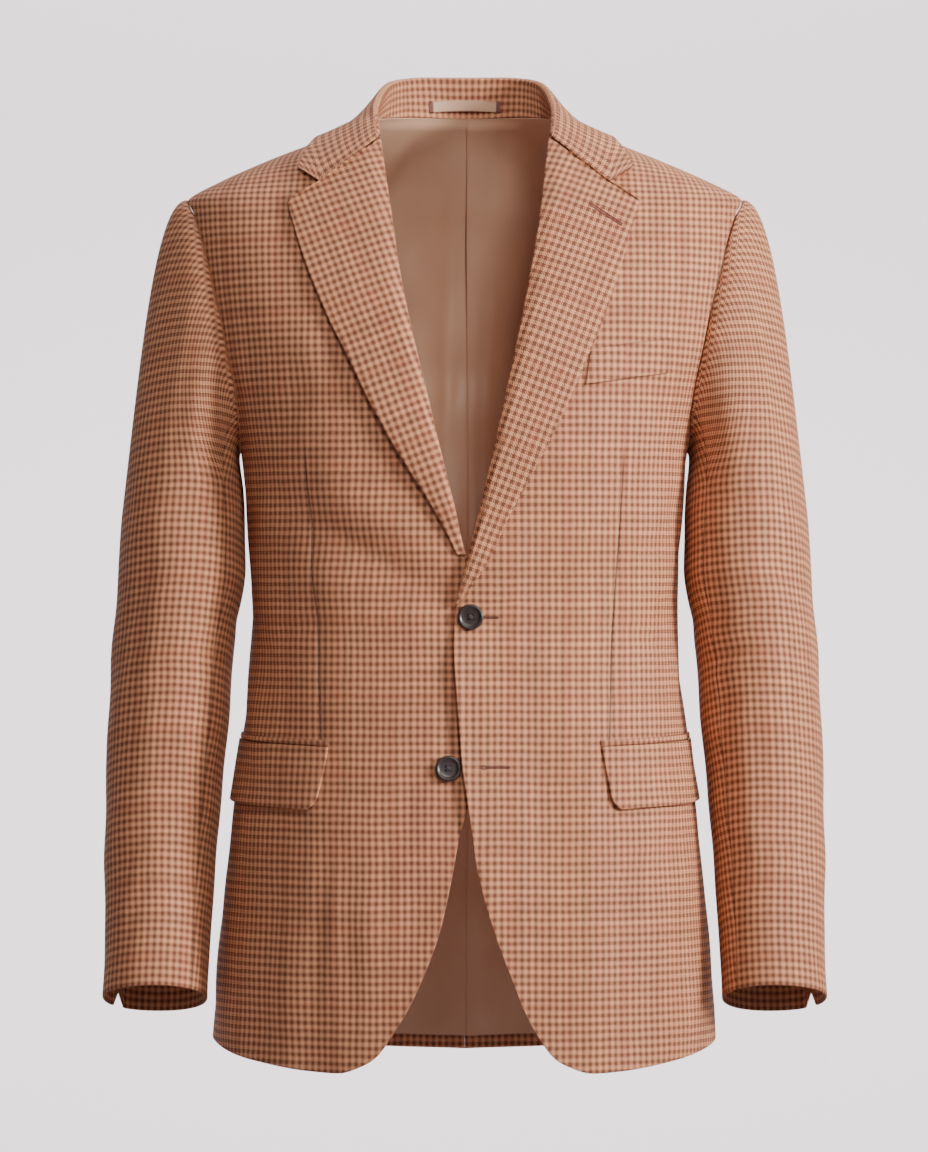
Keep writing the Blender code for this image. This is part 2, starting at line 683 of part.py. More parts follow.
def sleeve_turns():
    """Turns round the top sleeve and the under sleeve, with a narrow column beside the cuff's vent."""
    gap, beside_vent = SEAM_GAP / 2 / CUFF_RADIUS, CUFF_VENT["half_width"] / CUFF_RADIUS
    wound = np.concatenate([ARMHOLE_TURNS[:-1] - 2 * math.pi, ARMHOLE_TURNS])
    top = wound[(wound > HINDARM_SEAM - 2 * math.pi - TURN_STEP) & (wound < FOREARM_SEAM + TURN_STEP)]
    under = wound[(wound > FOREARM_SEAM - TURN_STEP) & (wound < HINDARM_SEAM + TURN_STEP)]
    for turns in (top, under):
        turns[0] += gap
        turns[-1] -= gap
    top = np.insert(top, 1, top[0] + beside_vent)
    under = np.insert(under, -1, under[-1] - beside_vent)
    return top, under


# Lapels and collar -------------------------------------------------------------------------------


def lapel_outline(share, edge, lapel_edge, low):
    """The lapel's roll line and outer edge at a share of its length from the break to the gorge."""
    roll_height = low + (GORGE["roll"][1] - low) * share
    edge_height = low + (GORGE["lapel_tip_height"] - low) * share
    on_roll = (read(edge, "across", roll_height), roll_height)
    return on_roll, (read(lapel_edge, "across", edge_height), edge_height)


def lapel_wall(name, edge, lapel_edge, low, lift, material, collection, side):
    """A lapel folded back over its front, from the roll line to its outer edge."""
    gorge = [GORGE["roll"], GORGE["notch"], (lapel_edge["across"][-1], GORGE["lapel_tip_height"])]
    reach = [0, LAPEL_GORGE["notch"], 1]
    on_seam = np.stack([np.interp(LAPEL_WIDTHS, reach, values) for values in zip(*gorge)], axis=-1)
    on_seam[:, 1] -= SEAM_GAP
    rows = []
    for share in LAPEL_LENGTHS:
        roll, outer_edge = np.array(lapel_outline(share, edge, lapel_edge, low))
        row = roll + (outer_edge - roll) * LAPEL_WIDTHS[:, None]
        bend = ease((share - LAPEL_GORGE["starts"]) / (1 - LAPEL_GORGE["starts"]))
        rows.append(row + bend * (on_seam - row))
    grid = np.array(rows)
    length, width = LAPEL_LENGTHS[:, None], LAPEL_WIDTHS[None, :]
    off = LAPEL["roll"] * ease(width / LAPEL["roll_width"]) * (1 - LAPEL["roll_fall"] * width)
    off = off + LAPEL["belly"] * np.sin(math.pi * width**0.7)
    off = off + LAPEL["edge_lift"] * ease(width) * np.sin(math.pi * length**0.8) ** 2
    out = SHELL_WALL + LAPEL_GAP + off * ease(length / LAPEL["root"])
    out = out + (lift(angle_across(grid[..., 0], grid[..., 1]), grid[..., 1]) if lift else 0.0)
    angle, height = seen_at(grid[..., 0], grid[..., 1], out)
    outer = body(side * angle, height, out)
    inner = body(side * angle, height, out - SHELL_WALL)
    return wall(name, outer, inner, material, collection)


def collar_station(station):
    """Fold line, leaf edge on the body and the stand's foot at one place along the collar's half."""
    fold = np.array([read(COLLAR, "fold_" + axis, station) for axis in "xyz"])
    edge = (math.radians(read(COLLAR, "edge_angle", station)), read(COLLAR, "edge_height", station))
    foot_angle = read(COLLAR, "foot_angle", station)
    return fold, edge, (math.radians(foot_angle), read(NECK, "height", foot_angle))


def neckward(fold):
    """The level direction from the fold towards the middle of the neck."""
    return unit(np.array([-fold[0], NECK_MIDDLE - fold[1], 0.0]))


def clear_of_body(points, clearance):
    """Moves points out along the body's normal where they come too near a panel."""
    angle, level = np.arctan2(points[..., 0], -points[..., 1]), np.minimum(points[..., 2], BODY["height"][-1])
    normal = body_normal(angle, level)
    apart = np.sum((points - body_base(angle, level)) * normal, axis=-1)
    seam = read(NECK, "height", np.degrees(np.abs(angle)))
    below_seam = seam + CLEARANCE["past_seam"] - (points[..., 2] - apart * normal[..., 2])
    over_panel = ease(below_seam / CLEARANCE["fade"])
    push = CLEARANCE["softness"] * np.logaddexp(0, (clearance - apart) / CLEARANCE["softness"])
    return points + (over_panel * push)[..., None] * normal


def collar_half(stations):
    """Half of the collar leaf's outer face: rows from the centre back to the gorge, columns from the fold."""
    rows = []
    for station in stations:
        fold, (edge_angle, edge_height), _ = collar_station(station)
        edge = body(edge_angle, edge_height, LEAF_WALL + COLLAR_GAP)
        inward = neckward(fold)
        near_end = ease((station - LEAF_END["tuck_from"]) / (LEAF_END["last"] - LEAF_END["tuck_from"]))
        tuck = 1 - LEAF_END["tuck"] * near_end
        row = [fold + tuck * (inward * into + np.array([0, 0, down])) for into, down in FOLD_PROFILE]
        sag = LEAF_SAG * ease(station / LEAF_SAG_STATIONS)
        row += [fold + (edge - fold) * w - np.array([0, 0, sag * math.sin(math.pi * w)]) for w in LEAF_WIDTHS]
        row = np.array(row)
        at_seam = ease((station - LEAF_END["seam_from"]) / (LEAF_END["last"] - LEAF_END["seam_from"]))
        if at_seam > 0:
            reach = [0, LEAF_END["notch"], 1]
            along = np.interp(LEAF_WIDTHS, reach, [fold[0], GORGE["notch"][0], GORGE["collar_tip"][0]])
            heights = [GORGE["roll"][1], GORGE["notch"][1], GORGE["collar_tip"][1]]
            level = np.interp(LEAF_WIDTHS, reach, heights)
            off = LEAF_WALL + COLLAR_GAP
            seam = body(*seen_at(along, level + 2 * SEAM_GAP, off), off)
            row[len(FOLD_PROFILE) :] += at_seam * (seam - row[len(FOLD_PROFILE) :])
        rows.append(row)
    face = np.array(rows)
    lying = face[:, len(FOLD_PROFILE) :]
    face[:, len(FOLD_PROFILE) :] = clear_of_body(lying, LEAF_WALL + COLLAR_GAP)
    return face


def both_sides(half):
    """A whole band from its half: from the wearer's right round the back to the left."""
    mirrored = half[::-1] * np.array([-1, 1, 1])
    return np.concatenate([mirrored[:-1], half])


def collar_leaf(material, collection):
    outer = both_sides(collar_half(LEAF_STATIONS))
    return wall("collar_leaf", outer, outer + LEAF_WALL * grid_normal(outer), material, collection)


def stand_column(station):
    """Foot and top of the stand's inner face at one place, and the way out from the neck."""
    fold, _, (foot_angle, foot_height) = collar_station(station)
    seam = body(foot_angle, foot_height)
    up = unit(body(foot_angle, foot_height + 1.0) - seam)
    inward = neckward(fold)
    into, down = FOLD_PROFILE[0]
    top = fold + inward * into + np.array([0, 0, down - SEAM_GAP])
    return seam + SEAM_GAP * up + inward * STAND_WALL, top, -inward


def collar_stand(material, collection):
    """The band that stands round the neck inside the fold. Its inner face shows."""
    inner, outward = [], []
    for station in STAND_STATIONS:
        foot, top, away = stand_column(station)
        inner.append([foot + (top - foot) * share for share in np.linspace(0, 1, 4)])
        outward.append([away] * 4)
    inner, outward = both_sides(np.array(inner)), both_sides(np.array(outward))
    return wall("collar_stand", inner + STAND_WALL * outward, inner, material, collection)


# Pockets, buttons and small pieces ---------------------------------------------------------------


def flap_grid():
    """(angle, height) of a flap: rows from its foot up, columns from its front edge to its rear end."""
    down = np.linspace(1, 0, 7)[:, None]
    back = np.linspace(0, 1, 9)[None, :]
    top = FLAP["front_top"] + (FLAP["rear_top"] - FLAP["front_top"]) * back
    foot = FLAP_FOOT["front"] + (FLAP_FOOT["rear"] - FLAP_FOOT["front"]) * back
    height = top + (foot - top) * down
    in_corner = np.clip(1 - (1 - down) / FLAP_CORNER["height"], 0, 1)
    front_across = FLAP["front"] + FLAP_SLANT * down + FLAP_CORNER["cut"] * in_corner**2
    front = angle_across(front_across, height[:, :1])
    rear = math.radians(FLAP["rear_angle"])
    return pairs(front + (rear - front) * back, height), down, back


def flap(name, material, collection, side):
    grid, down, back = flap_grid()
    curved = FLAP_FLARE["curved"] * down**2 * (1 - FLAP_FLARE["rear_loss"] * back)
    flare = FLAP_FLARE["straight"] * down + curved
    out = FLAP_WALL + TRIM_GAP + SEAM_GAP / 2 + flare
    outer = body(side * grid[..., 0], grid[..., 1], out)
    inner = body(side * grid[..., 0], grid[..., 1], out - FLAP_WALL)
    return wall(name, outer, inner, material, collection)


def strip_grid(front_foot, rear_foot, rear_top, front_top, columns, rows):
    """(angle, height) of a four-cornered piece given by points (angle, height)."""
    u = np.linspace(0, 1, columns + 1)[None, :, None]
    v = np.linspace(0, 1, rows + 1)[:, None, None]
    corners = [np.array(corner) for corner in (front_foot, rear_foot, rear_top, front_top)]
    foot = corners[0] + (corners[1] - corners[0]) * u
    top = corners[3] + (corners[2] - corners[3]) * u
    return foot + (top - foot) * v


def jet(name, material, collection, side):
    """The bound edge above a flap."""
    front = float(angle_across(FLAP["front"] - JET_MARGIN, FLAP["front_top"]))
    rear = math.radians(FLAP["rear_angle"] + JET_MARGIN)
    front_foot = (front, FLAP["front_top"] + JET_MARGIN)
    rear_foot = (rear, FLAP["rear_top"] + JET_MARGIN)
    rear_top = (rear, rear_foot[1] + JET_HEIGHT)
    front_top = (front, front_foot[1] + JET_HEIGHT)
    grid = strip_grid(front_foot, rear_foot, rear_top, front_top, 8, 1)
    return on_body(name, grid, TRIM_WALL + TRIM_GAP, TRIM_WALL, material, collection, side)


def chest_welt(material, collection):
    corners = [(float(angle_across(x, z)), z) for x, z in WELT.values()]
    grid = strip_grid(*corners, 7, 2)
    return on_body("chest_welt", grid, TRIM_WALL + TRIM_GAP, TRIM_WALL, material, collection)


def button(name, across, height, lift, material, collection, cutters):
    """A turned button with four thread holes, laid on the front."""
    mesh = bpy.data.meshes.new(name)
    profile = [((BUTTON_DIAMETER / 2 - inset) * MM, 0.0, z * MM) for inset, z in BUTTON_SECTION]
    mesh.from_pydata(profile, [(i, i + 1) for i in range(len(profile) - 1)], [])
    obj = add_object(name, mesh, material, collection)
    turned = obj.modifiers.new("turned", "SCREW")
    turned.steps = BUTTON_STEPS
    turned.render_steps = BUTTON_STEPS
    turned.use_merge_vertices = True
    turned.merge_threshold = 0.0001
    turned.use_smooth_shade = True
    angle = float(angle_across(across, height))
    normal = body_normal(angle, height)
    place = body(angle, height, lift)
    obj.location = [value * MM for value in place]
    obj.rotation_mode = "QUATERNION"
    obj.rotation_quaternion = Vector(normal).to_track_quat("Z", "Y")
    for index, (right, up) in enumerate([(-1, -1), (1, -1), (1, 1), (-1, 1)]):
        cutter = bpy.data.objects.new(f"{name}_hole_{index}", thread_hole())
        place = THREAD_HOLE["place"] * MM
        cutter.location = (right * place, up * place, BUTTON_HEIGHT / 2 * MM)
        cutter.parent = obj
        cutter.hide_render = True
        cutter.display_type = "WIRE"
        cutters.objects.link(cutter)
        cut = obj.modifiers.new(f"hole_{index}", "BOOLEAN")
        cut.object = cutter
        cut.operation = "DIFFERENCE"
    return obj


def thread_hole():
    shape = bmesh.new()
    bmesh.ops.create_cone(
        shape,
        cap_ends=True,
        segments=THREAD_HOLE["sides"],
        radius1=THREAD_HOLE["radius"] * MM,
        radius2=THREAD_HOLE["radius"] * MM,
        depth=3 * BUTTON_HEIGHT * MM,
    )
    mesh = bpy.data.meshes.new("thread_hole")
    shape.to_mesh(mesh)
    shape.free()
    return mesh


def hanger_loop(material, collection):
    """The tape across the inside of the collar, bowed off it between its sewn ends."""
    rows = []
    for level in (LOOP["foot"], LOOP["top"]):
        row = []
        for place in np.linspace(-1, 1, LOOP_POINTS):
            foot, top, away = stand_column(abs(place) * LOOP["half_length"] / LOOP["station"])
            share = (level + LOOP["rise"] * (1 - place**2) - foot[2]) / (top[2] - foot[2])
            point = foot + (top - foot) * share - away * (LOOP["off"] + LOOP["bow"] * (1 - place**2))
            row.append(point * np.array([np.sign(place) or 1, 1, 1]))
        rows.append(row)
    face = np.array(rows)
    return wall("hanger_loop", face, face + np.array([0, -LOOP["wall"], 0]), material, collection)


def back_lining(name, material, collection, side, past_centre, drop):
    """Half of the back's lining, hung inside the shell. One half laps past the centre as a pleat."""
    grid = back_grid(LINING_RISE)
    angle, height = grid[..., 0].copy(), grid[..., 1].copy()
    near_centre = np.clip(1 - (CENTRE_BACK - angle) / LINING_PLEAT["spread"], 0, 1)
    angle += near_centre * arc_step(angle, height, past_centre)
    height -= LINING_NECK["drop"] * ease(height / LINING_NECK["over"] + 1)
    out = -(SHELL_WALL + LINING_GAP) - drop * near_centre
    outer = body(side * angle, height, out)
    return wall(name, outer, body(side * angle, height, out - LINING_WALL), material, collection)


def clear_scene():
    for obj in list(bpy.data.objects):
        bpy.data.objects.remove(obj)


def new_collection(name):
    collection = bpy.data.collections.new(name)
    bpy.context.scene.collection.children.link(collection)
    return collection


def main():
    clear_scene()
    jacket = new_collection("linen_jacket")
    cutters = new_collection("cutters")
    linen = new_material("checked_linen", LINEN, 0.9)
    satin = new_material("lining_satin", SATIN, 0.4)
    horn = new_material("dark_horn", HORN, 0.35)

    on_body("front_left", front_grid(LEFT_EDGE), 0.0, SHELL_WALL, linen, jacket, 1, overlap)
    on_body("front_right", front_grid(RIGHT_EDGE), 0.0, SHELL_WALL, linen, jacket, -1)
    top_turns, under_turns = sleeve_turns()
    for hand, side in (("left", 1), ("right", -1)):
        on_body(f"side_{hand}", side_grid(), 0.0, SHELL_WALL, linen, jacket, side)
        on_body(f"back_{hand}", back_grid(), 0.0, SHELL_WALL, linen, jacket, side)
        sleeve_wall(f"sleeve_top_{hand}", top_turns, side, linen, jacket)
        sleeve_wall(f"sleeve_under_{hand}", under_turns, side, linen, jacket)
        flap(f"pocket_flap_{hand}", linen, jacket, side)
        jet(f"pocket_jet_{hand}", linen, jacket, side)
    lapel_wall("lapel_left", LEFT_EDGE, LEFT_LAPEL_EDGE, LEFT_BREAK, overlap, linen, jacket, 1)
    lapel_wall("lapel_right", RIGHT_EDGE, RIGHT_LAPEL_EDGE, RIGHT_BREAK, None, linen, jacket, -1)
    collar_leaf(linen, jacket)
    collar_stand(linen, jacket)
    chest_welt(linen, jacket)
    hanger_loop(satin, jacket)
    back_lining("lining_left", satin, jacket, 1, -SEAM_GAP, 0.0)
    back_lining("lining_right", satin, jacket, -1, LINING_PLEAT["lap"], LINING_PLEAT["drop"])
    button("button_upper", *UPPER_BUTTON, OVERLAP_LIFT + BUTTON_SHANK, horn, jacket, cutters)
    button("button_lower", *LOWER_BUTTON, BUTTON_SHANK, horn, jacket, cutters)


main()
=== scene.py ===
"""The looks of a tailored linen jacket: two front buttons, notch lapels, flap pockets, open cuffs.

Every cloth piece is a thin shell on the form of its solid, drawn again from the same named sizes with a
finer grid. Sizes are in millimetres and become metres when a mesh is made. +Z is up, -Y is the front and
+X the wearer's left. Each piece carries its cloth coordinates: millimetres across and along its threads.
"""

import math

import bmesh
import bpy
import numpy as np
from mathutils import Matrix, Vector
from mathutils.bvhtree import BVHTree


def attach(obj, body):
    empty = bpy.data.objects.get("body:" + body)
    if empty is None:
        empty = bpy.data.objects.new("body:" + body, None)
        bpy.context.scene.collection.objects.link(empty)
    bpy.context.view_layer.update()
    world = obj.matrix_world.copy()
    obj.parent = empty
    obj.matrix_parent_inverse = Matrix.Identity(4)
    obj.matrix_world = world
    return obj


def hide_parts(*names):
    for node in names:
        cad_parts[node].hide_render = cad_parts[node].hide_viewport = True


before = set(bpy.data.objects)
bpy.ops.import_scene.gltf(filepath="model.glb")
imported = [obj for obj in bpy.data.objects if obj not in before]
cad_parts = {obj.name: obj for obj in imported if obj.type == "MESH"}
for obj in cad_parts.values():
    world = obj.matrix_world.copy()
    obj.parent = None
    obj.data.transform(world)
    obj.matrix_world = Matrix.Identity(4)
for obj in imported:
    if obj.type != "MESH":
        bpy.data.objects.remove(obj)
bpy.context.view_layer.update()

MM = 0.001

# Driving sizes of the make.
SHELL_WALL = 2.0  # linen with its canvas
LINING_WALL = 1.0
TRIM_WALL = 1.2  # jetting and welt
SEAM_GAP = 0.08  # what a sewn seam shows; the solids keep 0.3
TRIM_GAP = 0.5  # between a panel and what lies on it
LAPEL_GAP = 0.7
LINING_GAP = 1.0  # between the shell's inside and the lining
BUTTON_DIAMETER = 20.4
BUTTON_HEIGHT = 3.6
BUTTON_SHANK = 0.9  # the thread's length under a button
OVERLAP_LIFT = 2.7  # how far the wearer's left front stands over the right one
OVERLAP_REACH = dict(across=60.0, run=36.0, top=-300.0, fall=60.0)  # where that lift starts and is full
STAND_WALL = 1.3
LEAF_WALL = 1.5
COLLAR_GAP = 1.3  # between the collar's leaf and the panels under it
NECK_MIDDLE = 14.0  # the neck opening's middle, behind the origin
SHOULDER_SEAM = math.radians(90)
CENTRE_BACK = math.radians(180)
ANGLE_STEP, HEIGHT_STEP = 0.002, 0.4  # how far apart points lie that give the body's normal
TURN_STEP = 0.01  # the same round a sleeve


# About how long and wide each piece is, which sets how many points its grid has.
GRID = dict(front=(780, 215), side=(500, 95), back=(760, 215), lining=(750, 215), cap=190)


def table(columns, *rows):
    """Named columns of a short table, sorted by the first column."""
    values = np.array(sorted(rows), float)
    return dict(zip(columns.split(), values.T))


# Level sections of the body, from the hem to the base of the neck. Depths run from the middle plane
# to the centre front and centre back, and squareness is the power of the oval.
BODY = table(
    "height half_width front_depth back_depth squareness",
    (-790, 204.5, 146, 138, 2.40),
    (-735, 202.0, 144, 136, 2.40),
    (-680, 198.6, 142, 133, 2.40),
    (-620, 193.0, 139, 128, 2.40),
    (-560, 186.4, 134, 120, 2.40),
    (-500, 179.4, 128, 111, 2.42),
    (-450, 173.4, 124, 107, 2.45),
    (-405, 171.0, 122, 108, 2.50),
    (-360, 172.8, 124, 114, 2.55),
    (-300, 176.6, 128, 124, 2.60),
    (-270, 179.4, 129, 128, 2.65),
    (-235, 187.5, 127, 131, 2.70),
    (-191, 202.3, 122, 134, 2.70),
    (-150, 213.5, 112, 133, 2.70),
    (-102, 222.0, 95, 127, 2.55),
    (-80, 224.5, 86, 122, 2.30),
    (-66, 223.0, 79, 118, 2.10),
    (-52, 198.0, 72, 114, 2.00),
    (-34, 157.0, 62, 107, 2.00),
    (-16, 111.0, 50, 99, 2.00),
    (0, 77.0, 38, 90, 2.00),
    (10, 58.0, 30, 83, 2.00),
)

# The armhole seen from the side: an egg that leans forward at the foot.
ARMHOLE = dict(top=-66.0, bottom=-270.0, front_reach=63.0, back_reach=72.0, front_droop=0.15, back_rise=0.10)

# Turns round the armhole, from the shoulder seam forward and under: the front, the side panel and the
# back each take a stretch of it, and the sleeve's two seams start on it.
FRONT_TURNS = np.radians(np.linspace(180, 0, 49))
SIDE_TURNS = np.radians(np.linspace(180, 236, 15))
BACK_TURNS = np.radians(np.linspace(236, 360, 37))
FOREARM_SEAM = math.radians(135)
HINDARM_SEAM = math.radians(236 + 124 * 6 / 9)
FRONT_COLUMNS, BACK_COLUMNS = 32, 32
ROWS_BELOW = 64  # rows of places from the hem to the foot of the armhole
NECK_ROWS, NECK_COLUMNS = 12, 13  # rows of a front and columns of a back that end at the neck seam
BACK_SEAM_TURN = 60.0  # the height over which the back seam runs into the armhole

# The cloth's largest folds on the body, by degrees from the centre front (+ towards the wearer's left)
# and height. A fold leans from upright towards +X at its top, and a depth below zero is a trough.
FOLDS = table(
    "angle height lean half_length half_width depth",
    (-30.5, -356, -57, 75, 19, -2.6),
    (-26.0, -325, -52, 55, 20, 1.4),
    (-68.0, -440, -40, 38, 18, -2.2),
    (-14.8, -630, 17, 50, 17, -2.2),
    (-43.0, -722, 0, 60, 20, -3.2),
    (24.8, -531, -10, 105, 20, -2.2),
    (40.0, -372, 62, 60, 20, -1.6),
    (48.0, -700, 4, 70, 22, -2.4),
    (150.0, -405, 42, 60, 20, -2.6),
    (-152.0, -392, -38, 66, 20, -2.8),
    (163.0, -655, 0, 95, 24, 2.6),
    (-166.0, -640, 0, 90, 24, 2.4),
    (122.0, -150, -24, 55, 22, -2.4),
    (-124.0, -160, 22, 55, 22, -2.2),
)

# Smaller creases laid over them, each where the photograph shows one or a hidden side would have it.
CREASES = table(
    "angle height lean half_length half_width depth",
    (-30.5, -356, -57, 60, 8, -1.1),
    (-24.0, -330, -54, 46, 8, 0.7),
    (-43.6, -665, 5, 75, 7, -0.8),
    (-39.0, -640, 2, 60, 7, 0.7),
    (-34.6, -670, -4, 70, 7.5, -0.8),
    (-29.5, -640, -1, 66, 8, 0.6),
    (-57.0, -660, 3, 80, 9, -1.3),
    (-20.0, -560, 6, 90, 9, -1.2),
    (46.0, -640, 0, 90, 8, -1.1),
    (40.5, -650, 2, 90, 7, 0.9),
    (57.0, -650, -3, 80, 9, 1.0),
    (18.0, -449, 20, 32, 9, -1.4),
    (6.8, -560, -2, 150, 9, 1.0),
    (13.0, -560, -4, 140, 10, -1.1),
    (-14.0, -411, 71, 36, 5, -0.9),
    (-15.0, -392, -73, 36, 5, -0.8),
    (-16.0, -401, 88, 32, 5, 0.7),
    (15.0, -412, -71, 34, 5, -0.8),
    (16.0, -390, 74, 34, 5, -0.8),
    (55.0, -215, -35, 60, 13, -1.2),
    (-52.0, -230, 33, 60, 13, -1.3),
    (74.0, -330, -35, 50, 11, -1.3),
    (-75.0, -325, 35, 50, 11, -1.4),
    (47.0, -180, 6, 55, 9, 1.1),
    (-48.0, -190, -6, 55, 9, 1.1),
    (62.0, -420, -70, 34, 7, -0.9),
    (-58.0, -414, 68, 36, 7, -1.0),
    (172.0, -300, 0, 120, 14, 1.0),
    (-170.0, -320, 0, 120, 14, 0.9),
    (166.0, -392, 80, 46, 8, -1.2),
    (-164.0, -399, -82, 46, 8, -1.2),
    (150.0, -424, 70, 42, 8, 0.9),
    (-148.0, -430, -70, 42, 8, 0.9),
    (130.0, -378, 60, 34, 8, -1.1),
    (-133.0, -372, -62, 34, 8, -1.0),
    (100.0, -600, 0, 100, 11, -1.4),
    (-98.0, -610, 0, 100, 11, -1.4),
    (112.0, -590, 4, 90, 10, 1.1),
    (-110.0, -600, -4, 90, 10, 1.0),
    (140.0, -210, -30, 60, 12, -1.2),
    (-142.0, -220, 28, 60, 12, -1.2),
)
UNEVEN_RADIUS = 170.0
UNEVEN = dict(seed=7, waves=9, shortest=55.0, longest=170.0, height=0.2)  # the cloth's slight waviness

# The same on a sleeve, by degrees round it from its outer side to the front.
LEFT_SLEEVE_FOLDS = table(
    "angle height lean half_length half_width depth",
    (108, -419, -60, 32, 14, -3.2),
    (96, -397, -58, 40, 14, 1.8),
    (122, -468, -50, 30, 14, -2.2),
    (60, -600, -35, 34, 16, -1.8),
    (262, -434, 78, 38, 15, -3.2),
    (118, -432, -70, 26, 6, -1.5),
    (90, -428, -62, 32, 6, 1.2),
    (110, -405, -66, 28, 6, 1.1),
    (112, -452, -64, 24, 6, -1.2),
    (100, -475, -58, 24, 7, 1.0),
    (84, -585, -40, 26, 7, -1.2),
    (76, -606, -42, 26, 7, 1.0),
    (62, -330, -12, 60, 10, -1.3),
    (130, -340, 10, 50, 10, -1.2),
    (255, -420, 80, 32, 8, -1.4),
    (270, -455, 74, 32, 8, 1.2),
    (108, -560, 4, 110, 11, 1.2),
    (50, -520, 0, 120, 12, -1.2),
    (190, -400, 60, 30, 9, -1.2),
)
RIGHT_SLEEVE_FOLDS = table(
    "angle height lean half_length half_width depth",
    (44, -405, 30, 36, 16, -2.4),
    (72, -300, -20, 46, 18, -2.0),
    (112, -452, 50, 32, 14, -2.4),
    (58, -610, 28, 40, 16, -1.8),
    (266, -446, -74, 38, 15, -3.0),
    (60, -430, -3, 140, 15, -1.6),
    (112, -450, 4, 150, 14, 1.3),
    (88, -296, -30, 34, 12, -1.2),
    (60, -420, 40, 28, 7, -1.2),
    (40, -388, 34, 30, 7, 1.1),
    (80, -455, 50, 30, 7, -1.2),
    (100, -425, 56, 28, 6, 1.1),
    (118, -470, 48, 26, 6, -1.2),
    (70, -640, 20, 34, 8, -1.2),
    (96, -560, -6, 90, 11, -1.1),
    (258, -430, -80, 32, 8, -1.4),
    (272, -462, -74, 32, 8, 1.2),
    (190, -410, -60, 30, 9, -1.2),
)

# The seam between side panel and back, as degrees round the body from the centre front.
BACK_SEAM = table(
    "height angle",
    (-790, 121.0),
    (-560, 120.0),
    (-405, 118.0),
    (-300, 112.0),
    (-215, 105.5),
)

# The hem's height round the body, by degrees from the centre front.
HEM = table(
    "angle height",
    (23.4, -737.0),
    (27.0, -748.0),
    (31.5, -755.0),
    (37.0, -759.6),
    (45.0, -758.5),
    (60.0, -752.0),
    (90.0, -740.0),
    (120.0, -748.0),
    (150.0, -757.0),
    (180.0, -760.0),
)

# Each front's free edge and roll line, as the distance of the edge past the centre line at a height.
# The left front laps over the right one.
LEFT_EDGE = table(
    "height across",
    (-737, 64.0),
    (-723, 54.0),
    (-705, 44.6),
    (-687, 37.4),
    (-652, 24.0),
    (-612, 12.4),
    (-560, 4.0),
    (-518, -2.2),
    (-459, -6.8),
    (-420, -9.0),
    (-392, -7.0),
    (-356, 2.8),
    (-309, 14.6),
    (-228, 32.8),
    (-151, 48.7),
    (-82, 60.6),
    (-20, 67.0),
)
RIGHT_EDGE = table(
    "height across",
    (-737, 64.0),
    (-723, 54.0),
    (-705, 42.5),
    (-687, 34.2),
    (-652, 20.9),
    (-612, 11.4),
    (-573, 3.8),
    (-545, -4.0),
    (-518, -10.0),
    (-459, -16.0),
    (-410, -17.0),
    (-380, -10.0),
    (-346, 1.0),
    (-309, 10.5),
    (-234, 28.8),
    (-151, 47.8),
    (-86, 59.2),
    (-20, 67.0),
)

# The lapels' outer edges, from the break upward, across from the centre line.
LEFT_LAPEL_EDGE = table(
    "height across",
    (-391, -5.6),
    (-368, 12.2),
    (-321, 35.9),
    (-262, 67.4),
    (-214, 89.5),
    (-139, 119.2),
    (-104, 129.4),
    (-71, 139.5),
)
RIGHT_LAPEL_EDGE = table(
    "height across",
    (-358, 3.6),
    (-325, 20.3),
    (-268, 55.0),
    (-224, 78.5),
    (-177, 102.3),
    (-141, 118.4),
    (-104, 132.0),
    (-70, 142.0),
)
LEFT_BREAK, RIGHT_BREAK = -391.0, -352.0

# The seam between lapel and collar seen from the front: where it leaves the roll line, its notch, and
# the two tips beside the notch.
GORGE = dict(roll=(68.2, -19.0), notch=(115.0, -55.5), lapel_tip_height=-70.5, collar_tip=(133.2, -43.5))

# The collar at stations from the centre back to the gorge: the fold line, where the leaf's edge lies on
# the body (degrees and height), and where the stand's foot lies on the neck seam.
COLLAR = table(
    "station fold_x fold_y fold_z edge_angle edge_height foot_angle",
    (0, 0.0, 88.0, 38.2, 180.0, -9.5, 180.0),
    (1, 28.0, 86.0, 38.2, 160.0, -10.0, 162.0),
    (2, 49.0, 75.5, 36.4, 139.0, -11.5, 143.0),
    (3, 61.5, 57.0, 32.2, 121.0, -13.5, 126.0),
    (4, 68.0, 36.0, 25.2, 105.5, -15.2, 110.0),
    (5, 71.8, 14.0, 16.0, 92.5, -17.2, 95.0),
    (6, 73.6, -8.0, 5.9, 82.5, -21.8, 81.0),
    (7, 72.4, -26.0, -4.7, 76.0, -31.0, 67.0),
    (8, 69.4, -43.5, -16.5, 72.0, -42.5, 57.5),
)

# The neck seam's height round the body, from the roll line to the centre back.
NECK = table(
    "angle height",
    (56.5, -20.0),
    (66.0, -11.0),
    (78.0, -4.0),
    (90.0, -1.0),
    (110.0, 1.4),
    (126.0, 3.4),
    (143.0, 4.8),
    (162.0, 5.4),
    (180.0, 5.5),
)

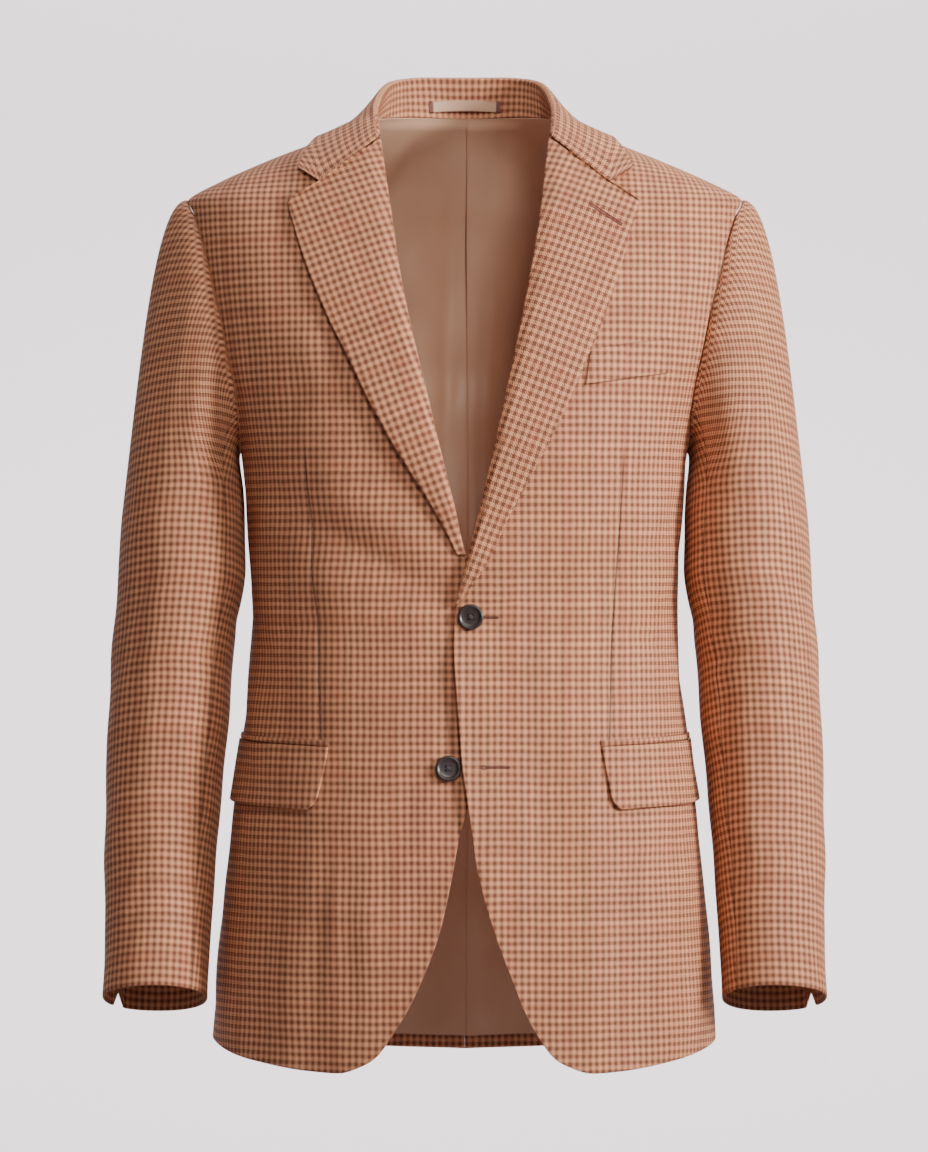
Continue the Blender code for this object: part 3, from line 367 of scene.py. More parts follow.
# The sleeve hanging beside the body: level by level, where its inner and outer sides lie, the middle and
# half depth fore and aft, and how far the section is tipped forward.
SLEEVE = table(
    "height inner outer middle half_depth tip",
    (-706, 204.6, 289.0, -50, 45.5, 17.0),
    (-650, 203.0, 288.0, -34, 47.5, 16.0),
    (-602, 200.0, 289.0, -22, 50.5, 13.0),
    (-554, 196.2, 289.0, -12, 53.5, 10.0),
    (-481, 189.6, 287.0, -7, 57.5, 5.0),
    (-408, 183.0, 282.5, -6, 61.0, 1.0),
    (-360, 175.8, 278.4, -8, 63.5, 0.0),
    (-330, 176.6, 276.2, -8, 64.5, 0.0),
    (-300, 178.6, 273.6, -6, 65.5, 0.0),
)
SLEEVE_SQUARENESS = 2.15
CAP_FOOT = -300.0
CUFF_HEIGHT = -706.0
CUFF_RADIUS = 46.0
CUFF_VENT = dict(height=12.0, half_width=7.0, fades_at=-640.0)  # the notch at the cuff's hindarm seam
LAPEL = dict(roll=1.9, roll_width=0.13, roll_fall=0.6, belly=1.2, edge_lift=2.4, root=0.12)
LAPEL_GORGE = dict(starts=0.85, notch=0.63)

FOLD_PROFILE = [(3.2, -4.0), (3.1, -2.7), (2.85, -1.5), (2.4, -0.7), (1.7, -0.22), (0.85, 0.0)]
LEAF_SAG = 4.5
LEAF_SAG_STATIONS = 4.0  # the stations over which the sag grows from none at the centre back
# How the leaf meets the gorge.
LEAF_END = dict(last=8.0, tuck_from=6.6, tuck=0.8, seam_from=6.2, notch=0.72, stand_taper=0.8)
CLEARANCE = dict(softness=0.5, past_seam=2.0, fade=4.0)  # how a collar piece is kept off the panels

# How the cap leaves the armhole, by degrees round it from the shoulder: how far it runs before it turns
# down, how much of that is away from the armhole's middle, and how soon it reaches the sleeve's line.
CAP = table(
    "angle reach spread settle",
    (-90, 20, 0.75, 80),
    (0, 22, 0.08, 154),
    (90, 17, 0.95, 78),
    (180, 4, 0.20, 10),
    (270, 20, 0.75, 80),
)

LINING_RISE = 11.0  # from the shell's hem up to the lining's
LINING_SPREAD = 0.45  # how much of the half, in radians from the centre back, the pleat shifts
# How far the lining stops over its usual top at the neck, and how its end turns out to the collar.
LINING_NECK = dict(rise=1.2, over=40.0, turn=3.0, length=6.0)

# Pocket and button places on the front, across from the centre line and by height.
FLAP = dict(front=107.5, rear_angle=88.5, front_top=-504.0, rear_top=-499.5)
FLAP_FOOT = dict(front=-553.5, rear=-548.5)
FLAP_SLANT = 9.0  # how far the flap's front edge runs back from top to foot
FLAP_CORNER = dict(cut=6.05, height=0.22)  # its rounded lower corner, the height as a share of the flap's
FLAP_WALL = 1.8
FLAP_FLARE = dict(straight=0.7, curved=1.6, rear_loss=0.5)  # how far its foot stands off the front
JET_HEIGHT = 5.0
JET_MARGIN = 0.5  # how far the jet runs past the flap's ends, and its gap above the flap
WELT = dict(
    front_foot=(95.0, -218.5),
    rear_foot=(160.0, -208.5),
    rear_top=(163.5, -180.5),
    front_top=(98.5, -190.0),
)
UPPER_BUTTON = (4.8, -401.5)
LOWER_BUTTON = (-13.0, -520.5)

# The hanger loop: its half length, the length between two collar stations, its heights, and how it bows.
LOOP = dict(half_length=31.5, station=28.0, foot=10.0, top=19.0, rise=1.5, bow=2.4, wall=0.8, off=1.1)


def smooth(knots, values, at):
    """A smooth curve through the knots, straight beyond its ends and free of overshoot."""
    at = np.asarray(at, float)
    run = np.diff(knots)
    rise = np.diff(values) / run
    between = (rise[:-1] * run[1:] + rise[1:] * run[:-1]) / (run[1:] + run[:-1])
    slope = np.concatenate([rise[:1], between, rise[-1:]])
    turning = rise[:-1] * rise[1:] <= 0
    slope[1:-1][turning] = 0
    held = np.clip(at, knots[0], knots[-1])
    i = np.clip(np.searchsorted(knots, held, side="right") - 1, 0, len(run) - 1)
    t = (held - knots[i]) / run[i]
    curve = values[i] + (values[i + 1] - values[i]) * t * t * (3 - 2 * t)
    curve = curve + run[i] * t * (1 - t) * (slope[i] * (1 - t) - slope[i + 1] * t)
    beyond = np.where(at < knots[0], slope[0], slope[-1]) * (at - held)
    return curve + beyond


def read(rows, column, at):
    """One column of a table at a place between its rows."""
    return smooth(next(iter(rows.values())), rows[column], at)


def unit(vectors):
    return vectors / np.linalg.norm(vectors, axis=-1, keepdims=True)


def ease(x):
    x = np.clip(x, 0, 1)
    return x * x * (3 - 2 * x)


def folded(folds, angle, height, radius):
    """How far the folds in a table raise the cloth at an angle and height, where its radius is known."""
    raised = np.zeros(np.broadcast(angle, height).shape)
    for place, level, lean, half_length, half_width, depth in zip(*folds.values()):
        turned = (angle - math.radians(place) + math.pi) % (2 * math.pi) - math.pi
        across, up = turned * radius, height - level
        tilt = math.radians(lean)
        off = (across * math.cos(tilt) - up * math.sin(tilt)) / half_width
        along = (across * math.sin(tilt) + up * math.cos(tilt)) / half_length
        raised = raised + depth * np.exp(-off * off - along * along)
    return raised


def uneven(along, height):
    """A slight waviness: seeded sums of long waves over millimetres round and up."""
    draw = np.random.default_rng(UNEVEN["seed"])
    total = 0.0
    for _ in range(UNEVEN["waves"]):
        length = draw.uniform(UNEVEN["shortest"], UNEVEN["longest"])
        lean, start = draw.uniform(0, math.pi), draw.uniform(0, 2 * math.pi)
        place = (along * math.cos(lean) + height * math.sin(lean)) / length
        total = total + UNEVEN["height"] * np.sin(2 * math.pi * place + start)
    return total


# The body's surface ------------------------------------------------------------------------------


def body_base(angle, height):
    """A point of the body's outer face, at an angle from the centre front towards +X."""
    angle, height = np.broadcast_arrays(np.asarray(angle, float), np.asarray(height, float))
    power = read(BODY, "squareness", height)
    depth = np.where(np.cos(angle) > 0, read(BODY, "front_depth", height), read(BODY, "back_depth", height))
    radius = (np.abs(np.cos(angle)) / depth) ** power
    radius = radius + (np.abs(np.sin(angle)) / read(BODY, "half_width", height)) ** power
    radius = radius ** (-1 / power)
    radius = radius + folded(FOLDS, angle, height, radius) + folded(CREASES, angle, height, radius)
    radius = radius + uneven(UNEVEN_RADIUS * np.sin(angle), height + UNEVEN_RADIUS * np.cos(angle))
    return np.stack([radius * np.sin(angle), -radius * np.cos(angle), height], axis=-1)


def body_normal(angle, height):
    round_it = body_base(angle + ANGLE_STEP, height) - body_base(angle - ANGLE_STEP, height)
    up = body_base(angle, height + HEIGHT_STEP) - body_base(angle, height - HEIGHT_STEP)
    return unit(np.cross(round_it, up))


def body(angle, height, out=0.0):
    """A point at a distance out from the body's outer face."""
    angle, height = np.broadcast_arrays(np.asarray(angle, float), np.asarray(height, float))
    out = np.asarray(out, float)[..., None] * np.ones(3)
    return body_base(angle, height) + out * body_normal(angle, height)


def angle_across(across, height):
    """The angle of the front's point at this distance from the centre line."""
    power = read(BODY, "squareness", height)
    share = np.clip(np.abs(across) / read(BODY, "half_width", height), 0, 0.9999)
    ahead = read(BODY, "front_depth", height) * (1 - share**power) ** (1 / power)
    return np.arctan2(across, ahead)


def seen_at(across, height, out):
    """Angle and height whose point, at a distance out from the body, is seen at this place from the front."""
    across, height, out = np.broadcast_arrays(across, height, out)
    aimed_across, aimed_height = across.astype(float), height.astype(float)
    for _ in range(4):
        point = body(angle_across(aimed_across, aimed_height), aimed_height, out)
        aimed_across = aimed_across + across - point[..., 0]
        aimed_height = aimed_height + height - point[..., 2]
    return angle_across(aimed_across, aimed_height), aimed_height


def arc_step(angle, height, distance):
    """The angle that covers a short distance round the body."""
    return distance / np.hypot(body_base(angle, height)[..., 0], body_base(angle, height)[..., 1])


def armhole(turn):
    """Angle round the body and height of the armhole seam, at a turn from the shoulder to the front."""
    middle = (ARMHOLE["top"] + ARMHOLE["bottom"]) / 2
    height = middle + (ARMHOLE["top"] - ARMHOLE["bottom"]) / 2 * np.cos(turn)
    ahead = ARMHOLE["front_reach"] * np.sin(turn) * (1 - ARMHOLE["front_droop"] * np.cos(turn))
    behind = ARMHOLE["back_reach"] * np.sin(turn) * (1 + ARMHOLE["back_rise"] * np.cos(turn))
    forward = np.where(np.sin(turn) > 0, ahead, behind)
    power = read(BODY, "squareness", height)
    depth = np.where(forward > 0, read(BODY, "front_depth", height), read(BODY, "back_depth", height))
    share = np.clip(np.abs(forward) / depth, 0, 0.999)
    beside = read(BODY, "half_width", height) * (1 - share**power) ** (1 / power)
    return np.arctan2(beside, forward), height


# Panels ------------------------------------------------------------------------------------------


def patch(left, right, foot, top):
    """A grid of (angle, height) filling four edges: left and right run up, foot and top run across."""
    v = np.linspace(0, 1, len(left))[:, None, None]
    u = np.linspace(0, 1, len(foot))[None, :, None]
    grid = (1 - u) * left[:, None] + u * right[:, None] + (1 - v) * foot[None] + v * top[None]
    corners = (1 - u) * (1 - v) * foot[0] + u * (1 - v) * foot[-1] + (1 - u) * v * top[0] + u * v * top[-1]
    return grid - corners


def pairs(angle, height):
    angle, height = np.broadcast_arrays(angle, height)
    return np.stack([angle, height], axis=-1)


def front_grid(edge):
    """(angle, height) of a front panel, between its free edge and the side seam under the arm."""
    hem = np.linspace(HEM["angle"][0], 90, FRONT_COLUMNS + 1)
    hem_height = read(HEM, "height", hem)
    neck_foot = NECK["height"][0]
    rows_above = len(FRONT_TURNS) - 1
    below = np.linspace(hem_height[0], ARMHOLE["bottom"], ROWS_BELOW + 1)
    above = np.linspace(ARMHOLE["bottom"], neck_foot, rows_above - NECK_ROWS + 1)[1:]
    heights = np.concatenate([below, above])
    left = pairs(angle_across(read(edge, "across", heights), heights), heights)
    neck = np.linspace(NECK["angle"][0], 90, NECK_ROWS + 1)[1:]
    left = np.concatenate([left, pairs(np.radians(neck), read(NECK, "height", neck))])
    seam = np.linspace(hem_height[-1], ARMHOLE["bottom"], ROWS_BELOW + 1)
    right = np.concatenate([pairs(SHOULDER_SEAM, seam), pairs(*armhole(FRONT_TURNS[1:]))])
    top = pairs(SHOULDER_SEAM, np.linspace(left[-1, 1], ARMHOLE["top"], FRONT_COLUMNS + 1))
    foot = pairs(np.radians(hem), hem_height)
    foot[0] = left[0]
    grid = patch(left, right, foot, top)
    inset = arc_step(grid[..., 0], grid[..., 1], SEAM_GAP / 2)
    seam_rows = slice(0, ROWS_BELOW + 1)
    grid[seam_rows, -1, 0] -= inset[seam_rows, -1]
    grid[-1, :, 0] -= inset[-1]
    return grid


def back_seam(foot_rise=0.0):
    """(angle, height) up the seam between side panel and back, from the hem to the armhole."""
    arm_angle, head = armhole(BACK_TURNS[0])
    foot_angle = read(BACK_SEAM, "angle", BACK_SEAM["height"][0])
    height = np.linspace(read(HEM, "height", foot_angle) + foot_rise, head, ROWS_BELOW + 1)
    angle = np.radians(read(BACK_SEAM, "angle", height))
    angle += ease((height - head) / BACK_SEAM_TURN + 1) * (arm_angle - angle[-1])
    return pairs(angle, height)


def side_grid():
    """(angle, height) of a side panel, from the seam under the arm to the back seam."""
    front = np.linspace(read(HEM, "height", 90), ARMHOLE["bottom"], ROWS_BELOW + 1)
    back = back_seam()
    hem = np.linspace(90, math.degrees(back[0, 0]), len(SIDE_TURNS))
    foot = pairs(np.radians(hem), read(HEM, "height", hem))
    foot[-1] = back[0]
    grid = patch(pairs(SHOULDER_SEAM, front), back, foot, pairs(*armhole(SIDE_TURNS)))
    inset = arc_step(grid[..., 0], grid[..., 1], SEAM_GAP / 2)
    grid[:, 0, 0] += inset[:, 0]
    grid[:, -1, 0] -= inset[:, -1]
    return grid


def back_grid(foot_rise=0.0):
    """(angle, height) of a back panel, from the centre back to the back seam and the armhole."""
    seam = back_seam(foot_rise)
    hem = np.linspace(180, math.degrees(seam[0, 0]), BACK_COLUMNS + 1)
    foot = pairs(np.radians(hem), read(HEM, "height", hem) + foot_rise)
    foot[-1] = seam[0]
    right = np.concatenate([seam, pairs(*armhole(BACK_TURNS[1:]))])
    neck_top = read(NECK, "height", 180)
    below = np.linspace(foot[0, 1], seam[-1, 1], ROWS_BELOW + 1)
    above = np.linspace(seam[-1, 1], neck_top, len(BACK_TURNS))[1:]
    neck = np.linspace(180, 90, NECK_COLUMNS + 1)
    neck_seam = pairs(np.radians(neck), read(NECK, "height", neck))
    shoulder = np.linspace(neck_seam[-1, 1], ARMHOLE["top"], BACK_COLUMNS - NECK_COLUMNS + 1)[1:]
    top = np.concatenate([neck_seam, pairs(SHOULDER_SEAM, shoulder)])
    grid = patch(pairs(CENTRE_BACK, np.concatenate([below, above])), right, foot, top)
    inset = arc_step(grid[..., 0], grid[..., 1], SEAM_GAP / 2)
    grid[:, 0, 0] -= inset[:, 0]
    grid[: ROWS_BELOW + 1, -1, 0] += inset[: ROWS_BELOW + 1, -1]
    grid[-1, NECK_COLUMNS:, 0] += inset[-1, NECK_COLUMNS:]
    return grid


def overlap(angle, height):
    """How far the left front stands out over the right one near the centre line."""
    inward = (OVERLAP_REACH["across"] - body_base(angle, height)[..., 0]) / OVERLAP_REACH["run"]
    down = (OVERLAP_REACH["top"] - height) / OVERLAP_REACH["fall"]
    return OVERLAP_LIFT * ease(inward) * ease(down)


# The cloth's own coordinates -----------------------------------------------------------------------

# A net over half of the body that gives how far round and up the cloth each place lies.
NET_ANGLES = np.radians(np.linspace(0, 180, 121))
NET_HEIGHTS = np.linspace(-800, 12, 204)
LEVEL_HEIGHT = -300.0  # where the coordinate up the cloth equals the height


def between(net, row, column):
    """Values of a net at fractional rows and columns."""
    row, column = np.broadcast_arrays(row, column)
    r = np.clip(np.floor(row).astype(int), 0, net.shape[0] - 2)
    c = np.clip(np.floor(column).astype(int), 0, net.shape[1] - 2)
    down, across = row - r, column - c
    if net.ndim == 3:
        down, across = down[..., None], across[..., None]
    low = net[r, c] * (1 - across) + net[r, c + 1] * across
    high = net[r + 1, c] * (1 - across) + net[r + 1, c + 1] * across
    return low * (1 - down) + high * down


def run_along(points, axis):
    """How far each point of a grid lies from the first one along an axis of the grid."""
    steps = np.linalg.norm(np.diff(points, axis=axis), axis=-1)
    start = np.zeros_like(np.take(points[..., 0], [0], axis=axis))
    return np.concatenate([start, np.cumsum(steps, axis=axis)], axis=axis)


def cloth_nets():
    """Lengths round the body from the centre front, and up it square to its levels."""
    angle, height = np.meshgrid(NET_ANGLES, NET_HEIGHTS)
    points = body_base(angle, height)
    tangent = unit(np.gradient(points, axis=1))
    level = unit(tangent[1:] + tangent[:-1])
    rise = np.diff(points, axis=0)
    rise = rise - np.sum(rise * level, axis=-1, keepdims=True) * level
    up = np.concatenate([np.zeros((1, len(NET_ANGLES))), np.cumsum(np.linalg.norm(rise, axis=-1), axis=0)])
    start = int(np.argmin(np.abs(NET_HEIGHTS - LEVEL_HEIGHT)))
    return run_along(points, 1), up - up[start] + NET_HEIGHTS[start]


ROUND_NET, UP_NET = cloth_nets()


def cloth_at(angle, height, from_back=False):
    """Millimetres across and up the cloth, across from the centre front or the centre back."""
    row = (height - NET_HEIGHTS[0]) / (NET_HEIGHTS[1] - NET_HEIGHTS[0])
    column = np.abs(angle) / (NET_ANGLES[1] - NET_ANGLES[0])
    across = between(ROUND_NET, row, column)
    if from_back:
        across = between(ROUND_NET, row, np.full_like(row, len(NET_ANGLES) - 1.0)) - across
    return np.stack([np.sign(angle) * across, between(UP_NET, row, column)], axis=-1)


# Making shells -------------------------------------------------------------------------------------

STEP = 3.0  # the usual distance between points of a cloth grid
NEAR_EDGE = np.array([0.0, 0.07, 0.25, 0.55, 1.0])  # rows close to an edge, as shares of its roll


def spaced(length, step, first_roll, last_roll):
    """Shares of a length with points at about a step, and closer ones over the roll at each end."""
    count = max(round((length - first_roll - last_roll) / step), 2)
    middle = np.linspace(first_roll, length - last_roll, count + 1)
    first = NEAR_EDGE[:-1] * first_roll
    last = length - NEAR_EDGE[-2::-1] * last_roll
    return np.concatenate([first, middle, last]) / length


def rolled(distance, roll):
    """How far a rounded edge has sunk, as a share of its drop, at a distance from its rim."""
    inside = np.clip(1 - distance / roll, 0, 1)
    return 1 - np.sqrt(1 - inside**2)


# An edge's shade is painted shade: darkening put into the cloth's colour along it, where a seam's hollow would lie
# in shadow.
SEAM = dict(drop=0.75, rise=0.0, roll=2.0, shade=0.55)  # an edge turned in at a seam, with shade painted along it
FREE = dict(drop=1.0, rise=0.75, roll=1.5, shade=0.0)  # an edge that ends the cloth, rounded from both faces
PLAIN = dict(drop=0.0, rise=0.0, roll=0.6, shade=0.0)
PRESSED = dict(drop=0.2, rise=0.0, roll=1.0, shade=0.12)  # a seam pressed so flat that it hardly shows, with faint shade painted along it
SHADE_WIDTH = 1.1  # how far the shade painted along a seam reaches into the cloth
GORGE_GAP = 0.12  # half the gap between collar and lapel


def edge_relief(points, left=PLAIN, right=PLAIN, foot=PLAIN, top=PLAIN):
    """How far the outer face sinks and the inner face rises towards each edge of a grid, and the shade painted
    along it.
    """
    across, up = run_along(points, 1), run_along(points, 0)
    drop, rise, shade = np.zeros((3, *points.shape[:2]))
    for edge, distance in (
        (left, across),
        (right, across[:, -1:] - across),
        (foot, up),
        (top, up[-1:] - up),
    ):
        share = rolled(distance, edge["roll"])
        drop = np.maximum(drop, edge["drop"] * share)
        rise = np.maximum(rise, edge["rise"] * share)
        shade = np.maximum(shade, edge["shade"] * np.clip(1 - distance / SHADE_WIDTH, 0, 1))
    return drop, rise, shade


def surface_normal(points):
    """Normals of a grid of points from its own neighbours, square to rows and columns."""
    return unit(np.cross(np.gradient(points, axis=0), np.gradient(points, axis=1)))


def placed(name, data):
    """An object with this mesh, light or lens, in the scene."""
    obj = bpy.data.objects.new(name, data)
    bpy.context.scene.collection.objects.link(obj)
    return obj


def write_cloth_layer(mesh, values):
    """Gives each point its millimetres across and up the cloth, and the shade painted on it."""
    mesh.attributes.new(CLOTH_LAYER, "FLOAT_VECTOR", "POINT").data.foreach_set("vector", values.ravel())


def shell(name, outer, inner, cloth, shade, materials, inside=0):
    """A closed thin shell between two grids of points. inside is the material's number on the inner face."""
    rows, columns = outer.shape[:2]
    count = rows * columns
    index = np.arange(count).reshape(rows, columns)
    square = np.stack([index[:-1, :-1], index[:-1, 1:], index[1:, 1:], index[1:, :-1]], axis=-1).reshape(-1, 4)
    border = np.concatenate([index[0, :-1], index[:-1, -1], index[-1, :0:-1], index[:0:-1, 0]])
    rim = np.stack([border, border + count, np.roll(border, -1) + count, np.roll(border, -1)], axis=-1)
    faces = np.concatenate([square, square[:, ::-1] + count, rim])
    facing = np.cross(np.gradient(outer, axis=1), np.gradient(outer, axis=0))
    if np.sum(facing * (outer - inner)) < 0:
        faces = faces[:, ::-1]
    slots = np.zeros(len(faces), int)
    slots[len(square) : 2 * len(square)] = inside
    mesh = bpy.data.meshes.new(name)
    points = np.concatenate([outer.reshape(-1, 3), inner.reshape(-1, 3)]) * MM
    mesh.from_pydata(points.tolist(), [], faces.tolist())
    mesh.polygons.foreach_set("material_index", slots)
    mesh.polygons.foreach_set("use_smooth", np.ones(len(faces), bool))
    both = np.concatenate([cloth.reshape(-1, 2)] * 2)
    # The outer face carries the shade painted on the cloth, and the inner face none.
    shades = np.concatenate([shade.reshape(-1, 1), np.zeros((count, 1))])
    write_cloth_layer(mesh, np.concatenate([both, shades], axis=1))
    for material in materials:
        mesh.materials.append(material)
    return placed(name, mesh)


def over_shares(base, rows, columns):
    """Places of (angle, height) at shares of a net's rows and columns."""
    return between(base, rows[:, None] * (len(base) - 1), np.atleast_2d(columns) * (base.shape[1] - 1))


def declare(piece, nodes):
    """Rides a piece on the jacket's body in place of its solids."""
    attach(piece, "root")
    if nodes:
        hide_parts(*nodes)


# Body panels ---------------------------------------------------------------------------------------

# The front dart, seen from the front: how far across it lies at a height.
DART = table(
    "height across",
    (-497, 114.5),
    (-469, 115.0),
    (-420, 116.3),
    (-380, 119.0),
    (-324, 123.0),
    (-258, 127.0),
)
# The dart's shade is painted shade: darkening put into the colour along its groove, where the groove would be in
# shadow.
DART_SHAPE = dict(groove=1.3, groove_width=0.7, valley=0.8, valley_width=8.0, taper=36.0, shade=0.85)
DART_COLUMNS = np.array([-3.4, -1.9, -1.1, -0.7, -0.35, 0.0, 0.35, 0.7, 1.1, 1.9, 3.4])
DART_CLEAR = 0.006  # how near the dart's own columns the usual ones may come, as a share of the width
PUCKER = dict(depth=0.16, length=8.5, width=7.0)


def panel(name, places, side, looks, edges, lift=0.0, relief=0.0, extra_painted_shade=0.0, inside=0, from_back=False):
    """A body panel on places of (angle, height) for the wearer's left, mirrored by side, with shade painted along
    its seams and where more is given.
    """
    angle, height = side * places[..., 0], places[..., 1]
    drop, rise, shade = edge_relief(body(angle, height), **edges)
    outer = body(angle, height, lift + relief - drop)
    inner = body(angle, height, lift - SHELL_WALL + rise)
    cloth = cloth_at(angle, height, from_back)
    materials = [looks["linen"], looks["satin"]]
    return shell(name, outer, inner, cloth, np.maximum(shade, extra_painted_shade), materials, inside)


def inner_faces(places, hem_band):
    """Material numbers of a panel's inner face: linen in a band along the hem, satin above it."""
    height = (places[:-1, :-1, 1] + places[1:, 1:, 1]) / 2
    foot = places[:1, :-1, 1]
    return np.where(height - foot < hem_band, 0, 1).reshape(-1)


def dart_columns(base, rows, columns):
    """Column shares for each row, shifted so that one column runs down the dart."""
    fine = np.linspace(0, 1, 161)
    net = over_shares(base, rows, fine)
    across = body_base(net[..., 0], net[..., 1])[..., 0]
    beyond = across - read(DART, "across", np.clip(net[..., 1], DART["height"][0], DART["height"][-1]))
    at = np.array([np.interp(0.0, row, fine) for row in beyond])
    width = np.linalg.norm(np.diff(body_base(net[..., 0], net[..., 1]), axis=1), axis=-1).sum(axis=1)
    middle = float(np.mean(at))
    typical = float(np.mean(width))
    cluster = middle + DART_COLUMNS / typical
    kept = columns[(columns < cluster[0] - DART_CLEAR) | (columns > cluster[-1] + DART_CLEAR)]
    shares = np.sort(np.concatenate([kept, cluster]))
    shifted = np.array([np.interp(shares, [0, middle, 1], [0, place, 1]) for place in at])
    return shifted, (shifted - at[:, None]) * width[:, None]


def dart_relief(distance, height):
    """The dart's stitched groove, the shallow valley round it, its pucker, and the shade painted along the groove.
    """
    top, foot = DART["height"][-1], DART["height"][0]
    within = ease((top - height) / DART_SHAPE["taper"]) * ease((height - foot) / 4 + 1)
    groove = DART_SHAPE["groove"] * np.exp(-((distance / DART_SHAPE["groove_width"]) ** 2))
    valley = DART_SHAPE["valley"] * np.exp(-((distance / DART_SHAPE["valley_width"]) ** 2))
    beside = np.exp(-((distance / PUCKER["width"]) ** 2)) * np.sign(distance)
    pucker = PUCKER["depth"] * np.sin(2 * math.pi * height / PUCKER["length"] + 0.6 * np.sin(height / 11)) * beside
    dark = DART_SHAPE["shade"] * np.exp(-((distance / DART_SHAPE["groove_width"]) ** 2))
    return within * (pucker - groove - valley), within * dark


EDGE_CURL = dict(rise=3.4, width=17.0, top=-400.0, foot=-620.0, fade=50.0)  # how the lapped edge stands off


def edge_curl(places):
    """How far the left front's free edge stands up off the right front below the upper button."""
    along = run_along(body_base(places[..., 0], places[..., 1]), 1)
    height = places[..., 1]
    within = ease((EDGE_CURL["top"] - height) / EDGE_CURL["fade"])
    within = within * ease((height - EDGE_CURL["foot"]) / EDGE_CURL["fade"])
    return EDGE_CURL["rise"] * within * (1 - ease(along / EDGE_CURL["width"]))


def front(name, edge, side, looks, lifted):
    """A front with its dart. The lifted one laps over the other."""
    base = front_grid(edge)
    length, width = GRID["front"]
    rows = spaced(length, STEP, FREE["roll"], SEAM["roll"])
    columns, distance = dart_columns(base, rows, spaced(width, STEP, FREE["roll"], SEAM["roll"]))
    places = over_shares(base, rows, columns)
    lift = overlap(places[..., 0], places[..., 1]) + edge_curl(places) if lifted else 0.0
    # The seamed edges carry shade painted along them.
    edges = dict(left=FREE, right=SEAM, foot=FREE, top=SEAM)
    # dark is the shade painted along the dart's groove.
    relief, dark = dart_relief(distance, places[..., 1])
    piece = panel(name + "_cloth", places, side, looks, edges, lift, relief, dark, inner_faces(places, HEM_TURNED))
    declare(piece, [name])
    return piece


def seamed_panel(cut, hand, side, looks, base):
    """A side panel or a back: sewn at its two sides and its top, free at the hem."""
    length, width = GRID[cut]
    rows = spaced(length, STEP, FREE["roll"], SEAM["roll"])
    places = over_shares(base, rows, spaced(width, STEP, SEAM["roll"], SEAM["roll"]))
    # The seamed edges carry shade painted along them.
    edges = dict(left=SEAM, right=SEAM, foot=FREE, top=SEAM)
    name = f"{cut}_{hand}"
    inside = inner_faces(places, HEM_TURNED)
    piece = panel(name + "_cloth", places, side, looks, edges, inside=inside, from_back=cut == "back")
    declare(piece, [name])


# Sleeves -------------------------------------------------------------------------------------------


def sleeve_ring(turn, height, folds):
    """A point of the sleeve's outer face, at a turn from its outer side to the front."""
    inner, outer = read(SLEEVE, "inner", height), read(SLEEVE, "outer", height)
    tip = np.radians(read(SLEEVE, "tip", height))
    power = 2 / SLEEVE_SQUARENESS
    half_width, half_depth = (outer - inner) / 2, read(SLEEVE, "half_depth", height)
    wavy = uneven(half_depth * np.sin(turn), height + half_depth * np.cos(turn))
    raised = 1 + (folded(folds, turn, height, half_depth) + wavy) / half_depth
    beside = np.sign(np.cos(turn)) * np.abs(np.cos(turn)) ** power * half_width * raised
    ahead = np.sign(np.sin(turn)) * np.abs(np.sin(turn)) ** power * half_depth * raised
    middle = read(SLEEVE, "middle", height)
    x = (inner + outer) / 2 + beside
    return np.stack([x, middle - ahead * np.cos(tip), height + ahead * np.sin(tip)], axis=-1)


def cap(turn, share, side, folds):
    """A point of the sleeve's head, from the armhole seam (share 0) to the full sleeve (share 1)."""
    degrees = np.degrees(turn)
    angle, height = armhole(turn)
    start = body_base(side * angle, height) * np.array([side, 1, 1])
    away = np.stack([np.zeros_like(turn), -np.sin(turn), np.cos(turn)], axis=-1)
    spread = read(CAP, "spread", degrees)[..., None]
    leave = unit(np.array([1.0, 0, 0]) + spread * away)
    start = start + SEAM_GAP * leave
    end = sleeve_ring(turn, np.full_like(turn, CAP_FOOT), folds)
    down = unit(sleeve_ring(turn, np.full_like(turn, CAP_FOOT - 2), folds) - end)
    first = start + read(CAP, "reach", degrees)[..., None] * leave
    second = end - read(CAP, "settle", degrees)[..., None] * down
    t = share[..., None]
    curve = start * (1 - t) ** 3 + 3 * first * t * (1 - t) ** 2
    return curve + 3 * second * t * t * (1 - t) + end * t**3


def vent(turn):
    """How far the cuff's edge is cut up beside the hindarm seam."""
    apart = np.abs((turn - HINDARM_SEAM + math.pi) % (2 * math.pi) - math.pi) * CUFF_RADIUS
    return CUFF_VENT["height"] * np.clip(1 - apart / CUFF_VENT["half_width"], 0, 1)


def sleeve_face(turns, side, folds):
    """Rows of points from the cuff up to the armhole seam."""
    length = CAP_FOOT - CUFF_HEIGHT
    heights = CUFF_HEIGHT + length * spaced(length, STEP, FREE["roll"], STEP)[:-4]
    shares = 1 - spaced(GRID["cap"], STEP, STEP, SEAM["roll"])[3:]
    rows = []
    for height in heights:
        raised = vent(turns) * ease((CUFF_VENT["fades_at"] - height) / (CUFF_VENT["fades_at"] - CUFF_HEIGHT))
        rows.append(sleeve_ring(turns, height + raised, folds))
    for share in shares:
        rows.append(cap(turns, np.full_like(turns, share), side, folds))
    return np.array(rows)


